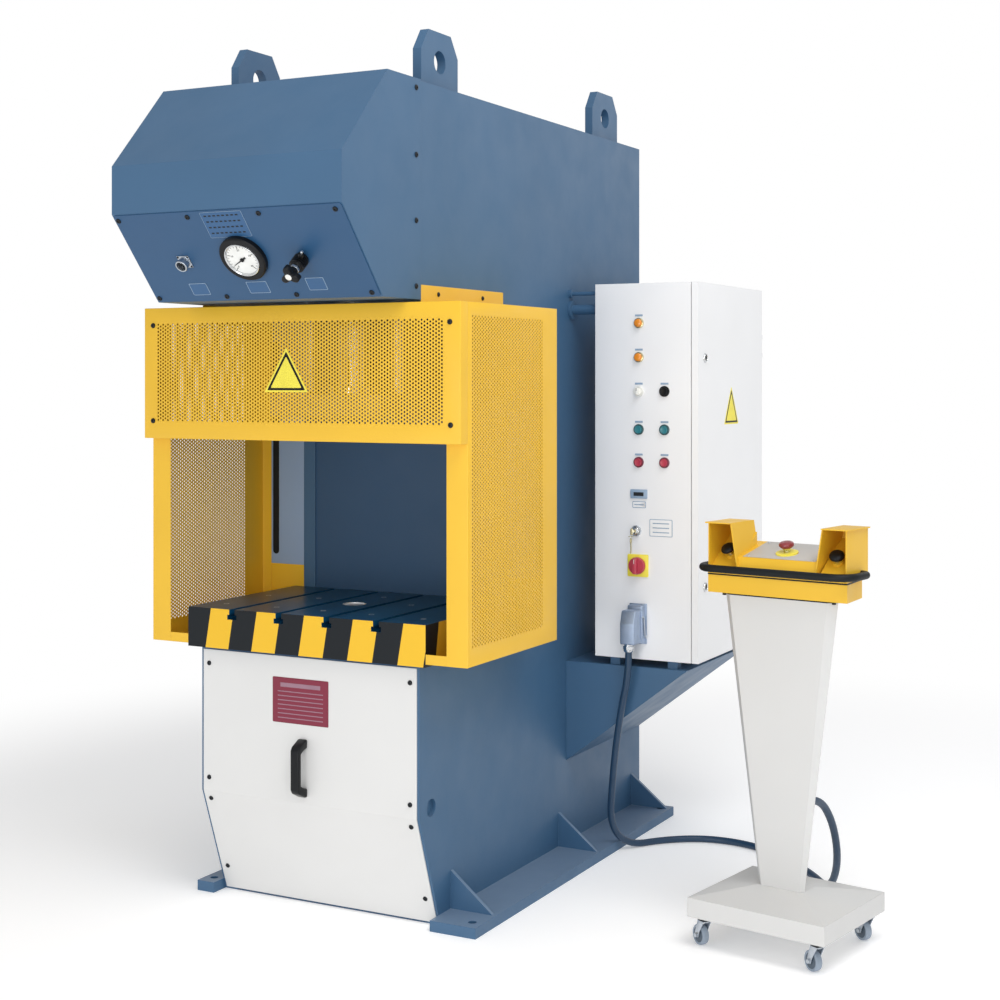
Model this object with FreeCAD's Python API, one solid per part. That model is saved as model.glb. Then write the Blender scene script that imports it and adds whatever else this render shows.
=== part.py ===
import FreeCAD, Part

import math
import os

# Hydraulic C-frame press with its switch cabinet, control cable and two-hand pedestal.
# Millimetres. +X is the operator's right, +Y runs from the operator to the back, +Z is up.
# The origin lies on the floor, on the machine's centre plane, midway along the frame's feet.

V = FreeCAD.Vector
X_AXIS = V(1, 0, 0)
Y_AXIS = V(0, 1, 0)
Z_AXIS = V(0, 0, 1)

# ---- clearances shared by all the fits
SLIDE_GAP = 0.05      # radial running clearance of shafts, rods and buttons
SEAT_GAP = 0.3        # between parts that only rest against each other

# ---- welded frame
FRAME_WIDTH = 680.0
SIDE_THICK = 40.0
FRAME_TOP = 2150.0
FRAME_REAR = 700.0
HEAD_FRONT = -760.0
HEAD_UNDERSIDE = 1600.0
THROAT_FACE = -230.0
THROAT_RADIUS = 60.0
BED_TOP = 682.0
BED_FRONT = -712.0
KINK_HEIGHT = 294.0
TOE_FRONT = -607.0
THROAT_PLATE_THICK = 30.0
THROAT_PLATE_STEP = 4.0
REAR_PLATE_THICK = 20.0
TOP_PLATE_THICK = 20.0
HEAD_FLOOR_THICK = 40.0
BED_PLATE_THICK = 40.0
BASE_PLATE_THICK = 30.0
RECESS_DIA = 45.0
RECESS_DEPTH = 12.0
RECESS_Y = -654.0
RECESS_Z = 312.0

# ---- welded feet
FOOT_THICK = 28.0
FOOT_FRONT = -662.0
FOOT_REAR = 669.0
FOOT_WIDTH_RIGHT = 132.0
FOOT_WIDTH_LEFT = 55.0
FOOT_GUSSET_HEIGHT = 99.0
FOOT_GUSSET_THICK = 12.0
FOOT_GUSSET_SPOTS = (-548.0, 95.0, 636.0)
FOOT_GUSSET_INSET = 9.0
ANCHOR_DIA = 22.0
ANCHOR_EDGE = 30.0
ANCHOR_FROM_END = 39.0

# ---- lifting lugs
LUG_THICK = 25.0
LUG_WIDTH = 192.0
LUG_HEIGHT = 155.0    # above the frame's top
LUG_SUNK = 110.0      # below the frame's top
LUG_TOP_FLAT = 116.0
LUG_CHAMFER_DROP = 55.0
LUG_HOLE_DIA = 60.0
LUG_HOLE_RISE = 77.0
LUG_FRONT_Y = -540.0
LUG_REAR_Y = 515.0

# ---- work table
TABLE_WIDTH = 740.0
TABLE_THICK = 106.0
TABLE_FRONT = -734.0
TABLE_REAR = -230.0
SLOT_PITCH = 150.0
SLOT_COUNT = 4
SLOT_NECK = 18.0
SLOT_NECK_DEPTH = 14.0
SLOT_FOOT = 30.0
SLOT_FOOT_DEPTH = 13.0
TABLE_BORE_DIA = 60.0
TABLE_BORE_DEPTH = 40.0
PRESS_AXIS_Y = -484.0

# ---- cylinder, ram and guides
CYLINDER_DIA = 190.0
CYLINDER_BORE = 140.0
CYLINDER_TOP = 2085.0
CYLINDER_FLANGE_DIA = 216.0
CYLINDER_FLANGE_THICK = 30.0
CYLINDER_NOSE_DIA = 120.0
CYLINDER_CAP = 20.0
CYLINDER_FLOOR = 20.0
ROD_DIA = 90.0
PISTON_LENGTH = 40.0
STROKE = 350.0
STROKE_RESERVE = 5.0
PLATEN_WIDTH = 350.0
PLATEN_DEPTH = 300.0
PLATEN_THICK = 60.0
PLATEN_BOTTOM = 1300.0
GUIDE_DIA = 40.0
GUIDE_SPAN = 280.0
GUIDE_TOP = 2060.0
BUSH_DIA = 62.0
BUSH_LENGTH = 110.0

# ---- folded head cover and its inclined control panel
COVER_SHEET = 3.0
COVER_REAR = -710.0
COVER_BROW_Y = -871.0
COVER_FACE_Y = -1072.0
COVER_FACE_TOP = 1934.0
COVER_FACE_BOTTOM = 1813.0
COVER_CHIN_Y = -890.0
COVER_WINDOW_MARGIN = 34.0
PANEL_SHEET = 3.0
PANEL_MARGIN = 3.0
PANEL_CORNER = 8.0

# ---- devices on the control panel
GAUGE_FLANGE_DIA = 128.0
GAUGE_FLANGE_THICK = 6.0
GAUGE_CASE_DIA = 104.0
GAUGE_CASE_HEIGHT = 20.0
GAUGE_DEPTH = 45.0
GAUGE_WALL = 4.0
GAUGE_UP = 137.0
POINTER_LENGTH = 34.0
POINTER_TAIL = 12.0
POINTER_WIDTH = 3.0
POINTER_THICK = 1.2
POINTER_REST = 118.0
POINTER_PIN_DIA = 5.0
SOCKET_X = -187.0
SOCKET_UP = 130.0
SOCKET_FLANGE = 32.0
SOCKET_DIA = 24.0
SOCKET_HEIGHT = 16.0
VALVE_X = 165.0
VALVE_UP = 125.0
VALVE_BODY = 36.0
VALVE_BODY_HEIGHT = 34.0
VALVE_NECK_DIA = 22.0
VALVE_NECK_HEIGHT = 24.0
KNOB_LOBE_RADIUS = 17.0
KNOB_LOBE_DIA = 18.0
KNOB_HEIGHT = 18.0
KNOB_SPINDLE_DIA = 10.0

# ---- sheet-metal guard
GUARD_SHEET = 2.0
GUARD_WIDTH = 980.0
GUARD_BOTTOM = 690.0
GUARD_TOP = 1592.0
GUARD_FRONT = -734.0
GUARD_REAR = -229.0
POST_WIDTH = 60.0
REAR_FLANGE = 33.0
SILL_HEIGHT = 25.0
GUARD_TAB_TOP = 1638.0
GUARD_TAB_FRONT = -708.0
GUARD_TAB_REAR = -263.0
FRONT_PANEL_FACE = -770.0
FRONT_PANEL_BOTTOM = 1241.0
FRONT_FIELD_WIDTH = 872.0
FRONT_FIELD_BOTTOM = 1289.0
FRONT_FIELD_TOP = 1545.0
SIDE_FIELD_FRONT = -712.0
SIDE_FIELD_REAR = -332.0
SIDE_FIELD_BOTTOM = 733.0
SIDE_FIELD_TOP = 1562.0
PERFORATION_PITCH = 62.0
PERFORATION_SIZE = 30.0
REAR_PLATE_CLEAR = 11.0     # from the frame's side
REAR_PLATE_LOWER_END = 852.0
REAR_SLOT_WIDTH = 23.0
REAR_SLOT_EDGE = 37.0       # from the guard's outside
REAR_SLOT_BOTTOM = 879.0
REAR_SLOT_TOP = 1500.0
FILLER_TOP = 850.0

# ---- lower front cover and its handle
FRONT_COVER_WIDTH = 666.0
FRONT_COVER_TOP = 674.0
FRONT_COVER_SHEET = 3.0
FRONT_COVER_CLEAR = 6.0
HANDLE_X = -9.0
HANDLE_BOTTOM = 313.0
HANDLE_TOP = 463.0
HANDLE_WIDTH = 22.0
HANDLE_STAND = 42.0
HANDLE_GRIP = 16.0

# ---- switch cabinet, its door and its bracket
CABINET_STANDOFF = 92.0     # from the frame's side
CABINET_WIDTH = 300.0
CABINET_FRONT = 150.0
CABINET_DEPTH = 565.0
CABINET_HEIGHT = 1092.0
CABINET_SHEET = 2.5
CABINET_LIP = 25.0
DOOR_GAP = 2.0
DOOR_THICK = 20.0
DOOR_SHEET = 2.0
DOOR_LENGTH = 560.0
HINGE_PIN_DIA = 8.0
HINGE_BARREL_DIA = 13.0
HINGE_BARREL_LENGTH = 44.0
HINGE_SETBACK = 10.0
HINGE_SHARES = (0.16, 0.84)    # heights on the cabinet, as shares of its own height
LOCK_Y = 204.0
LOCK_LOWER_SHARE = 0.196
LOCK_UPPER_SHARE = 0.801
LOCK_DIA = 20.0
LOCK_HEAD_DIA = 27.0
LOCK_HEAD_HEIGHT = 5.0
LOCK_CAM_LENGTH = 44.0
LOCK_CAM_WIDTH = 14.0
LOCK_CAM_THICK = 3.0
LOCK_CAM_BEHIND = 3.0
MOUNTING_PLATE_GAP = 14.0
MOUNTING_PLATE_MARGIN = 42.0
BRACKET_SHEET = 6.0
BRACKET_TOP = 565.0
BRACKET_DROP = 295.0
BRACKET_REACH = 722.0
BRACKET_FRONT = 145.0
BRACKET_REAR = 695.0
SPACER_INNER = 152.0        # from the frame's side
SPACER_OUTER = 50.0         # from the bracket's tip
SPACER_WIDTH = 30.0
SPACER_HEIGHT = 22.0
STUD_DIA = 12.0
STUD_HEAD_DIA = 24.0
STUD_HEAD_THICK = 9.0
STUD_Y = 170.0
STUD_SHARE = 0.977
CONDUIT_DIA = 30.0
CONDUIT_BORE = 24.0
CONDUIT_FLANGE_DIA = 57.0
CONDUIT_FLANGE_THICK = 8.0
CONDUIT_Y = 182.0
CONDUIT_SHARE = 0.934
SWITCHGEAR_ROWS = ((0.2, 60.0, 84.0), (0.45, 85.0, 119.0), (0.7, 70.0, 98.0))  # share, depth, height

# ---- devices on the cabinet's front: centre x, and height as a share of the cabinet's
BEZEL_DIA = 30.0
BEZEL_HEIGHT = 6.0
BUTTON_DIA = 23.0
BUTTON_PROUD = 3.0
BUTTON_TRAVEL = 4.0
SLEEVE_WALL = 1.4
SLEEVE_LENGTH = 16.0
CONTACT_BLOCK = 28.0
CONTACT_DEPTH = 32.0
BUTTON_SPOTS = {
    "black_button": (651.0, 0.7125),
    "green_button_left": (571.0, 0.611),
    "green_button_right": (651.0, 0.611),
    "red_button_left": (571.0, 0.524),
    "red_button_right": (651.0, 0.524),
}
LIGHT_SPOTS = ((571.0, 0.894), (571.0, 0.803))
SELECTOR_SPOT = (571.0, 0.7125)
KEY_SPOT = (563.0, 0.341)
SELECTOR_GRIP = 7.0
SELECTOR_HEIGHT = 12.0
KEY_BARREL_HEIGHT = 10.0
KEY_LENGTH = 24.0
KEY_HEAD = 22.0
KEY_THICK = 2.0
ISOLATOR_SPOT = (569.0, 0.249)
ISOLATOR_PLATE = 65.0
ISOLATOR_PLATE_THICK = 4.0
ISOLATOR_KNOB_DIA = 50.0
ISOLATOR_KNOB_HEIGHT = 14.0
ISOLATOR_GRIP_HEIGHT = 16.0
ISOLATOR_GRIP_WIDTH = 12.0
ISOLATOR_GRIP_LENGTH = 45.0
ISOLATOR_SHAFT_DIA = 10.0
METER_SPOT = (572.0, 0.4395)
METER_SIZE = (52.0, 26.0)
METER_HEIGHT = 5.0
FRONT_PLATES = (
    (572.0, 0.411, 42.0, 19.0),
    (640.0, 0.351, 71.0, 50.0),
)
LABEL_SHEET = 1.0
CONNECTOR_X = 570.0
CONNECTOR_RISE = 49.0      # above the cabinet's bottom
CONNECTOR_LENGTH = 110.0
CONNECTOR_WIDTH = 48.0
CONNECTOR_BASE_HEIGHT = 28.0
HOOD_HEIGHT = 58.0
HOOD_TOP_INSET = 12.0
GLAND_DIA = 30.0
LEVER_WIRE = 4.0
LEVER_PIVOT_RISE = 19.0
LEVER_REACH = 62.0

# ---- control cable: its route's corners, from the hood's gland to the pedestal's column
CABLE_DIA = 20.0
CABLE_SIDES = 8
CABLE_ROUTE = (
    (562.0, 95.0, 614.0),
    (562.0, 95.0, 552.0),
    (537.0, 103.0, 455.0),
    (513.0, 117.0, 340.0),
    (492.0, 138.0, 225.0),
    (466.0, 178.0, 85.0),
    (492.0, 252.0, 10.2),
    (566.0, 362.0, 10.2),
    (676.0, 436.0, 10.2),
    (822.0, 430.0, 10.2),
    (952.0, 340.0, 10.2),
    (1062.0, 232.0, 10.2),
    (1150.0, 110.0, 10.2),
    (1203.0, 12.0, 118.0),
    (1211.0, -66.0, 246.0),
    (1197.89, -160.36, 333.0),
    (1183.03, -249.12, 333.0),
)

# ---- pedestal: local X runs along its front, local Y to its back
PEDESTAL_X = 1169.5
PEDESTAL_Y = -330.0
PEDESTAL_TURN = -9.5
TRAY_WIDTH = 370.0
TRAY_DEPTH = 335.0
TRAY_BOTTOM = 75.0
TRAY_RIM = 122.0
TRAY_TOP = 145.0
COLUMN_SHEET = 3.0
COLUMN_TOP_HALF = 154.0
COLUMN_TOP_FRONT = -48.0
COLUMN_TOP_REAR = 105.0
COLUMN_TOP_REAR_HALF = 92.0
COLUMN_FOOT_HALF = 62.0
COLUMN_FOOT_FRONT = -34.0
COLUMN_FOOT_REAR = 38.0
COLUMN_CHAMFER_TOP = 20.0
COLUMN_CHAMFER_FOOT = 10.0
CABLE_ENTRY_Z = 333.0
CABLE_ENTRY_LENGTH = 26.0
CABLE_ENTRY_DIA = 34.0
CONSOLE_BOTTOM = 865.0
CONSOLE_PAN_HEIGHT = 50.0
CONSOLE_HALF = 190.0
CONSOLE_FRONT = -56.0
CONSOLE_SIDE_END = 63.0
CONSOLE_SIDE_HALF = 173.0
CONSOLE_REAR = 150.0
CONSOLE_REAR_HALF = 96.0
CONSOLE_SHEET = 3.0
DESK_FRONT = -45.0
DESK_FRONT_RISE = 42.0     # heights of the console's cover are taken from the pan's rim
DESK_REAR_RISE = 70.0
DESK_REAR = 92.0
HOOD_INNER_TOP = 124.0
HOOD_INNER_FOOT = 103.0
HOOD_OUTER_TOP = 189.0
HOOD_FRONT = -57.0
HOOD_REAR = 62.0
HOOD_ROOF_RISE = 126.0
HOOD_LIP = 6.0
HOOD_LIP_THICK = 3.0
PALM_X = 146.0
PALM_Y = -12.0
PALM_SEAT_RISE = 40.0
PALM_PITCH = 37.0
PALM_SPLAY = 7.0
PALM_DIA = 38.0
PALM_HEIGHT = 12.0
PALM_STEM_DIA = 15.0
PALM_STEM_LENGTH = 20.0
PALM_COLLAR_DIA = 26.0
PALM_COLLAR_HEIGHT = 8.0
PALM_TRAVEL = 5.0
STOP_Y = 5.0
STOP_DIA = 38.0
STOP_HEIGHT = 14.0
STOP_STEM_DIA = 16.0
STOP_STEM_LENGTH = 16.0
STOP_RING_DIA = 56.0
STOP_RING_HEIGHT = 4.0
RAIL_DIA = 19.0
RAIL_SIDES = 12
RAIL_RISE = 13.0
RAIL_HALF = 208.0
RAIL_FRONT = -88.0
RAIL_ROOT_Y = 25.0
RAIL_BEND = 50.0
RAIL_ROOT_BEND = 18.0
CASTER_SPAN_X = 306.0
CASTER_SPAN_Y = 274.0
CASTER_TRAIL = 17.0
CASTER_HEADING = 154.0
CASTER_PLATE = 46.0
CASTER_PLATE_THICK = 3.0
CASTER_STEM_DIA = 12.0
CASTER_FORK_WIDTH = 26.0
CASTER_FORK_SHEET = 2.5
CASTER_HEAD_THICK = 4.0
WHEEL_DIA = 50.0
WHEEL_WIDTH = 18.0
WHEEL_HUB_WIDTH = 20.0
AXLE_DIA = 8.0

# ---- button-head screws of the covers and panels
SCREW_HEAD_DIA = 14.0
SCREW_HEAD_HEIGHT = 4.0
SCREW_DIA = 6.0

# ---- hydraulic unit inside the lower frame
TANK_WIDTH = 500.0
TANK_FRONT = -520.0
TANK_DEPTH = 620.0
TANK_HEIGHT = 300.0
MOTOR_DIA = 170.0
MOTOR_LENGTH = 260.0
PUMP_DIA = 110.0
PUMP_LENGTH = 90.0

# ---- places worked out from the sizes above
HALF_FRAME = FRAME_WIDTH / 2
INNER_HALF = HALF_FRAME - SIDE_THICK
TABLE_TOP = BED_TOP + TABLE_THICK
TABLE_HALF = TABLE_WIDTH / 2
GUARD_HALF = GUARD_WIDTH / 2
CABINET_LEFT = HALF_FRAME + CABINET_STANDOFF
CABINET_RIGHT = CABINET_LEFT + CABINET_WIDTH
CABINET_REAR = CABINET_FRONT + CABINET_DEPTH
CABINET_BOTTOM = BRACKET_TOP + SPACER_HEIGHT
CABINET_TOP = CABINET_BOTTOM + CABINET_HEIGHT
CONNECTOR_BOTTOM = CABINET_BOTTOM + CONNECTOR_RISE
CONNECTOR_TOP = CONNECTOR_BOTTOM + CONNECTOR_LENGTH
LEVER_PIVOT_Z = CONNECTOR_BOTTOM + LEVER_PIVOT_RISE
DOOR_INNER = CABINET_RIGHT + DOOR_GAP
DOOR_OUTER = DOOR_INNER + DOOR_THICK
DOOR_REAR = CABINET_FRONT + DOOR_LENGTH
HINGE_X = DOOR_INNER + DOOR_THICK / 2
HINGE_Y = DOOR_REAR + HINGE_SETBACK
PLATEN_TOP = PLATEN_BOTTOM + PLATEN_THICK
HEAD_FLOOR = HEAD_UNDERSIDE + HEAD_FLOOR_THICK
CHAMBER_BOTTOM = HEAD_FLOOR + CYLINDER_FLOOR
PISTON_BOTTOM = CHAMBER_BOTTOM + STROKE + STROKE_RESERVE
CONSOLE_RIM = CONSOLE_BOTTOM + CONSOLE_PAN_HEIGHT
DESK_FRONT_Z = CONSOLE_RIM + DESK_FRONT_RISE
DESK_REAR_Z = CONSOLE_RIM + DESK_REAR_RISE
HOOD_ROOF_Z = CONSOLE_RIM + HOOD_ROOF_RISE
PALM_SEAT_Z = CONSOLE_RIM + PALM_SEAT_RISE
RAIL_Z = CONSOLE_RIM + RAIL_RISE
PEDESTAL_PLACE = FreeCAD.Placement(
    V(PEDESTAL_X, PEDESTAL_Y, 0), FreeCAD.Rotation(Z_AXIS, PEDESTAL_TURN))

# the inclined panel face: its foot at the chin, rising forward to the face
SLOPE_RUN = COVER_CHIN_Y - COVER_FACE_Y
SLOPE_RISE = COVER_FACE_BOTTOM - HEAD_UNDERSIDE
SLOPE_LENGTH = math.hypot(SLOPE_RUN, SLOPE_RISE)
SLOPE_ANGLE = math.degrees(math.atan2(SLOPE_RISE, SLOPE_RUN))

os.makedirs("parts", exist_ok=True)
made = {}


def save(name, shape):
    """Keep a finished node and write its STEP file."""
    made[name] = shape
    shape.exportStep("parts/" + name + ".step")


# ---- shapes

def box(x0, x1, y0, y1, z0, z1):
    return Part.makeBox(x1 - x0, y1 - y0, z1 - z0, V(x0, y0, z0))


def rod(base, axis, dia, length):
    return Part.makeCylinder(dia / 2, length, base, axis)


def tube(base, axis, outer, inner, length):
    return rod(base, axis, outer, length).cut(rod(base, axis, inner, length))


def prism(points, depth):
    """Extrude a closed outline of straight edges along a vector."""
    wire = Part.makePolygon(list(points) + [points[0]])
    return Part.Face(wire).extrude(depth)


def prism_x(outline, x0, x1):
    return prism([V(x0, y, z) for y, z in outline], V(x1 - x0, 0, 0))


def prism_y(outline, y0, y1):
    return prism([V(x, y0, z) for x, z in outline], V(0, y1 - y0, 0))


def prism_z(outline, z0, z1):
    return prism([V(x, y, z0) for x, y in outline], V(0, 0, z1 - z0))


def frustum(lower, upper):
    """Solid between two outlines at their own heights, whose matching sides are parallel."""
    count = len(lower)
    faces = [Part.Face(Part.makePolygon(ring + ring[:1])) for ring in (lower, upper)]
    for i in range(count):
        j = (i + 1) % count
        side = [lower[i], lower[j], upper[j], upper[i], lower[i]]
        faces.append(Part.Face(Part.makePolygon(side)))
    solid = Part.makeSolid(Part.makeShell(faces))
    if solid.Volume < 0:
        solid.reverse()
    return solid


def fuse(shapes):
    first, rest = shapes[0], shapes[1:]
    return first.multiFuse(rest).removeSplitter() if rest else first


def group(shapes):
    return Part.makeCompound(shapes)


def mirrored(shape):
    return shape.mirror(V(0, 0, 0), X_AXIS)


def on_panel(shape):
    """Move a piece drawn on a flat sheet (x across, y up the sheet, z out) onto the inclined panel."""
    placed = shape.copy()
    placed.Placement = panel_place(0, 0, 0).multiply(placed.Placement)
    return placed


def panel_place(x, up, out):
    """Frame on the panel's outer face: local x across, local y up the slope, local z outwards."""
    turn = FreeCAD.Rotation(X_AXIS, 180 - SLOPE_ANGLE)
    origin = V(0, COVER_CHIN_Y, HEAD_UNDERSIDE)
    place = FreeCAD.Placement(origin, turn)
    return place.multiply(FreeCAD.Placement(V(x, up, out + PANEL_SHEET), FreeCAD.Rotation()))


def on_pedestal(shape):
    placed = shape.copy()
    placed.Placement = PEDESTAL_PLACE.multiply(placed.Placement)
    return placed


def rounded_rect(x0, x1, y0, y1, radius, thick):
    """A flat plate with round corners, lying on z = 0."""
    plate = box(x0, x1, y0, y1, 0, thick)
    corners = [e for e in plate.Edges if abs(e.tangentAt(e.FirstParameter).z) > 0.99]
    return plate.makeFillet(radius, corners)


def ring_points(count, radius, start=0.0):
    """Points of a regular polygon, as (a, b) pairs."""
    step = 2 * math.pi / count
    angles = [math.radians(start) + i * step for i in range(count)]
    return [(radius * math.cos(a), radius * math.sin(a)) for a in angles]


def diamond_lattice(u0, u1, w0, w1):
    """Centres of the perforation: rows on a triangular lattice that fills a rectangle."""
    column_step = PERFORATION_PITCH * math.sin(math.radians(60))
    columns = int((u1 - u0 - PERFORATION_SIZE) // column_step)
    rows = int((w1 - w0 - PERFORATION_SIZE) // PERFORATION_PITCH)
    u_start = (u0 + u1 - columns * column_step) / 2
    w_start = (w0 + w1 - rows * PERFORATION_PITCH) / 2
    for i in range(columns + 1):
        shift = PERFORATION_PITCH / 2 if i % 2 else 0.0
        for j in range(rows + 1 - i % 2):
            yield u_start + i * column_step, w_start + shift + j * PERFORATION_PITCH


def inset_outline(points, offset):
    """Move every side of a closed outline inwards by one distance (outline runs clockwise or not)."""
    count = len(points)
    area = sum(points[i - 1][0] * points[i][1] - points[i][0] * points[i - 1][1]
               for i in range(count))
    turn = 1 if area > 0 else -1
    lines = []
    for i in range(count):
        (ax, ay), (bx, by) = points[i], points[(i + 1) % count]
        length = math.hypot(bx - ax, by - ay)
        nx, ny = -turn * (by - ay) / length, turn * (bx - ax) / length
        lines.append((nx, ny, nx * ax + ny * ay + offset))
    corners = []
    for i in range(count):
        (a1, b1, c1), (a2, b2, c2) = lines[i - 1], lines[i]
        det = a1 * b2 - a2 * b1
        corners.append(((c1 * b2 - c2 * b1) / det, (a1 * c2 - a2 * c1) / det))
    return corners


# ---- welded frame

def toe_y(height):
    """Front edge of the lower frame, which slopes back below the kink."""
    slope = (TOE_FRONT - BED_FRONT) / KINK_HEIGHT
    return BED_FRONT + (KINK_HEIGHT - height) * slope


def side_plate(sign):
    """One C-shaped side plate with its welded foot: sign 1 is the right one, -1 the left."""
    outline = [
        (FRAME_REAR, 0), (FRAME_REAR, FRAME_TOP), (HEAD_FRONT, FRAME_TOP),
        (HEAD_FRONT, HEAD_UNDERSIDE), (THROAT_FACE, HEAD_UNDERSIDE), (THROAT_FACE, BED_TOP),
        (BED_FRONT, BED_TOP), (BED_FRONT, KINK_HEIGHT), (TOE_FRONT, 0),
    ]
    plate = prism_x(outline, INNER_HALF, HALF_FRAME)
    corner = [e for e in plate.Edges if e.BoundBox.YLength < 0.01 and e.BoundBox.ZLength < 0.01
              and abs(e.BoundBox.YMin - THROAT_FACE) < 0.01
              and abs(e.BoundBox.ZMin - HEAD_UNDERSIDE) < 0.01]
    plate = plate.makeFillet(THROAT_RADIUS, corner)
    width = FOOT_WIDTH_RIGHT if sign > 0 else FOOT_WIDTH_LEFT
    foot = box(HALF_FRAME, HALF_FRAME + width, FOOT_FRONT, FOOT_REAR, 0, FOOT_THICK)
    for y in (FOOT_FRONT + ANCHOR_FROM_END, FOOT_REAR - ANCHOR_FROM_END):
        hole_x = HALF_FRAME + max(width - ANCHOR_EDGE, width / 2)
        foot = foot.cut(rod(V(hole_x, y, 0), Z_AXIS, ANCHOR_DIA, FOOT_THICK))
    gusset_reach = HALF_FRAME + width - FOOT_GUSSET_INSET
    gussets = [
        prism_y([(HALF_FRAME, FOOT_THICK), (gusset_reach, FOOT_THICK),
                 (HALF_FRAME, FOOT_THICK + FOOT_GUSSET_HEIGHT)],
                y - FOOT_GUSSET_THICK / 2, y + FOOT_GUSSET_THICK / 2)
        for y in FOOT_GUSSET_SPOTS
    ]
    plate = fuse([plate, foot] + gussets)
    plate = plate.cut(rod(V(HALF_FRAME - RECESS_DEPTH, RECESS_Y, RECESS_Z),
                          X_AXIS, RECESS_DIA, RECESS_DEPTH))
    return plate if sign > 0 else mirrored(plate)


def lug_outline(centre):
    half, flat = LUG_WIDTH / 2, LUG_TOP_FLAT / 2
    root, top = FRAME_TOP - LUG_SUNK, FRAME_TOP + LUG_HEIGHT
    shoulder = top - LUG_CHAMFER_DROP
    return [
        (centre - half, root), (centre + half, root), (centre + half, shoulder),
        (centre + flat, top), (centre - flat, top), (centre - half, shoulder),
    ]


def lifting_lugs():
    lugs = []
    for centre in (LUG_FRONT_Y, LUG_REAR_Y):
        lug = prism_x(lug_outline(centre), INNER_HALF - LUG_THICK, INNER_HALF)
        hole = rod(V(INNER_HALF - LUG_THICK, centre, FRAME_TOP + LUG_HOLE_RISE), X_AXIS,
                   LUG_HOLE_DIA, LUG_THICK)
        lug = lug.cut(hole)
        lugs += [lug, mirrored(lug)]
    return lugs


def frame_plates():
    """The cross plates welded between the side plates, with the bushes for the guide rods."""
    throat = THROAT_FACE + THROAT_PLATE_STEP
    throat_rear = throat + THROAT_PLATE_THICK
    inner = INNER_HALF
    plates = [
        box(-inner, inner, throat, throat_rear, BED_TOP - BED_PLATE_THICK, HEAD_FLOOR),
        box(-inner, inner, HEAD_FRONT, throat_rear, HEAD_UNDERSIDE, HEAD_FLOOR),
        box(-inner, inner, BED_FRONT, throat_rear, BED_TOP - BED_PLATE_THICK, BED_TOP),
        box(-inner, inner, HEAD_FRONT, HEAD_FRONT + TOP_PLATE_THICK, HEAD_FLOOR, FRAME_TOP),
        box(-inner, inner, HEAD_FRONT, FRAME_REAR, FRAME_TOP - TOP_PLATE_THICK, FRAME_TOP),
        box(-inner, inner, FRAME_REAR - REAR_PLATE_THICK, FRAME_REAR, 0, FRAME_TOP),
        box(-inner, inner, TOE_FRONT, FRAME_REAR, 0, BASE_PLATE_THICK),
    ]
    for x in (-GUIDE_SPAN / 2, GUIDE_SPAN / 2):
        plates.append(rod(V(x, PRESS_AXIS_Y, HEAD_UNDERSIDE), Z_AXIS, BUSH_DIA, BUSH_LENGTH))
    body = fuse(plates)
    holes = [rod(V(0, PRESS_AXIS_Y, HEAD_UNDERSIDE), Z_AXIS,
                 CYLINDER_NOSE_DIA + 2 * SEAT_GAP, HEAD_FLOOR_THICK)]
    for x in (-GUIDE_SPAN / 2, GUIDE_SPAN / 2):
        holes.append(rod(V(x, PRESS_AXIS_Y, HEAD_UNDERSIDE), Z_AXIS,
                         GUIDE_DIA + 2 * SLIDE_GAP, BUSH_LENGTH))
    notch = INNER_HALF - LUG_THICK - SEAT_GAP
    for centre in (LUG_FRONT_Y, LUG_REAR_Y):
        half = LUG_WIDTH / 2 + SEAT_GAP
        slot = box(notch, inner, centre - half, centre + half, FRAME_TOP - TOP_PLATE_THICK, FRAME_TOP)
        holes += [slot, mirrored(slot)]
    return body.cut(holes)


# ---- work table, cylinder, ram and hydraulic unit

def work_table():
    table = box(-TABLE_HALF, TABLE_HALF, TABLE_FRONT, TABLE_REAR, BED_TOP, TABLE_TOP)
    cuts = [rod(V(0, PRESS_AXIS_Y, TABLE_TOP - TABLE_BORE_DEPTH), Z_AXIS,
                TABLE_BORE_DIA, TABLE_BORE_DEPTH)]
    neck_floor = TABLE_TOP - SLOT_NECK_DEPTH
    for i in range(SLOT_COUNT):
        x = (i - (SLOT_COUNT - 1) / 2) * SLOT_PITCH
        cuts.append(box(x - SLOT_NECK / 2, x + SLOT_NECK / 2,
                        TABLE_FRONT, TABLE_REAR, neck_floor, TABLE_TOP))
        cuts.append(box(x - SLOT_FOOT / 2, x + SLOT_FOOT / 2,
                        TABLE_FRONT, TABLE_REAR, neck_floor - SLOT_FOOT_DEPTH, neck_floor))
    return table.cut(cuts)


def press_axis(z):
    return V(0, PRESS_AXIS_Y, z)


def cylinder():
    body = fuse([
        rod(press_axis(HEAD_UNDERSIDE), Z_AXIS, CYLINDER_NOSE_DIA, HEAD_FLOOR_THICK),
        rod(press_axis(HEAD_FLOOR), Z_AXIS, CYLINDER_FLANGE_DIA, CYLINDER_FLANGE_THICK),
        rod(press_axis(HEAD_FLOOR), Z_AXIS, CYLINDER_DIA, CYLINDER_TOP - HEAD_FLOOR),
    ])
    bore_length = CYLINDER_TOP - CYLINDER_CAP - CHAMBER_BOTTOM
    return body.cut([
        rod(press_axis(CHAMBER_BOTTOM), Z_AXIS, CYLINDER_BORE, bore_length),
        rod(press_axis(HEAD_UNDERSIDE), Z_AXIS, ROD_DIA + 2 * SLIDE_GAP,
            CHAMBER_BOTTOM - HEAD_UNDERSIDE),
    ])


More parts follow.
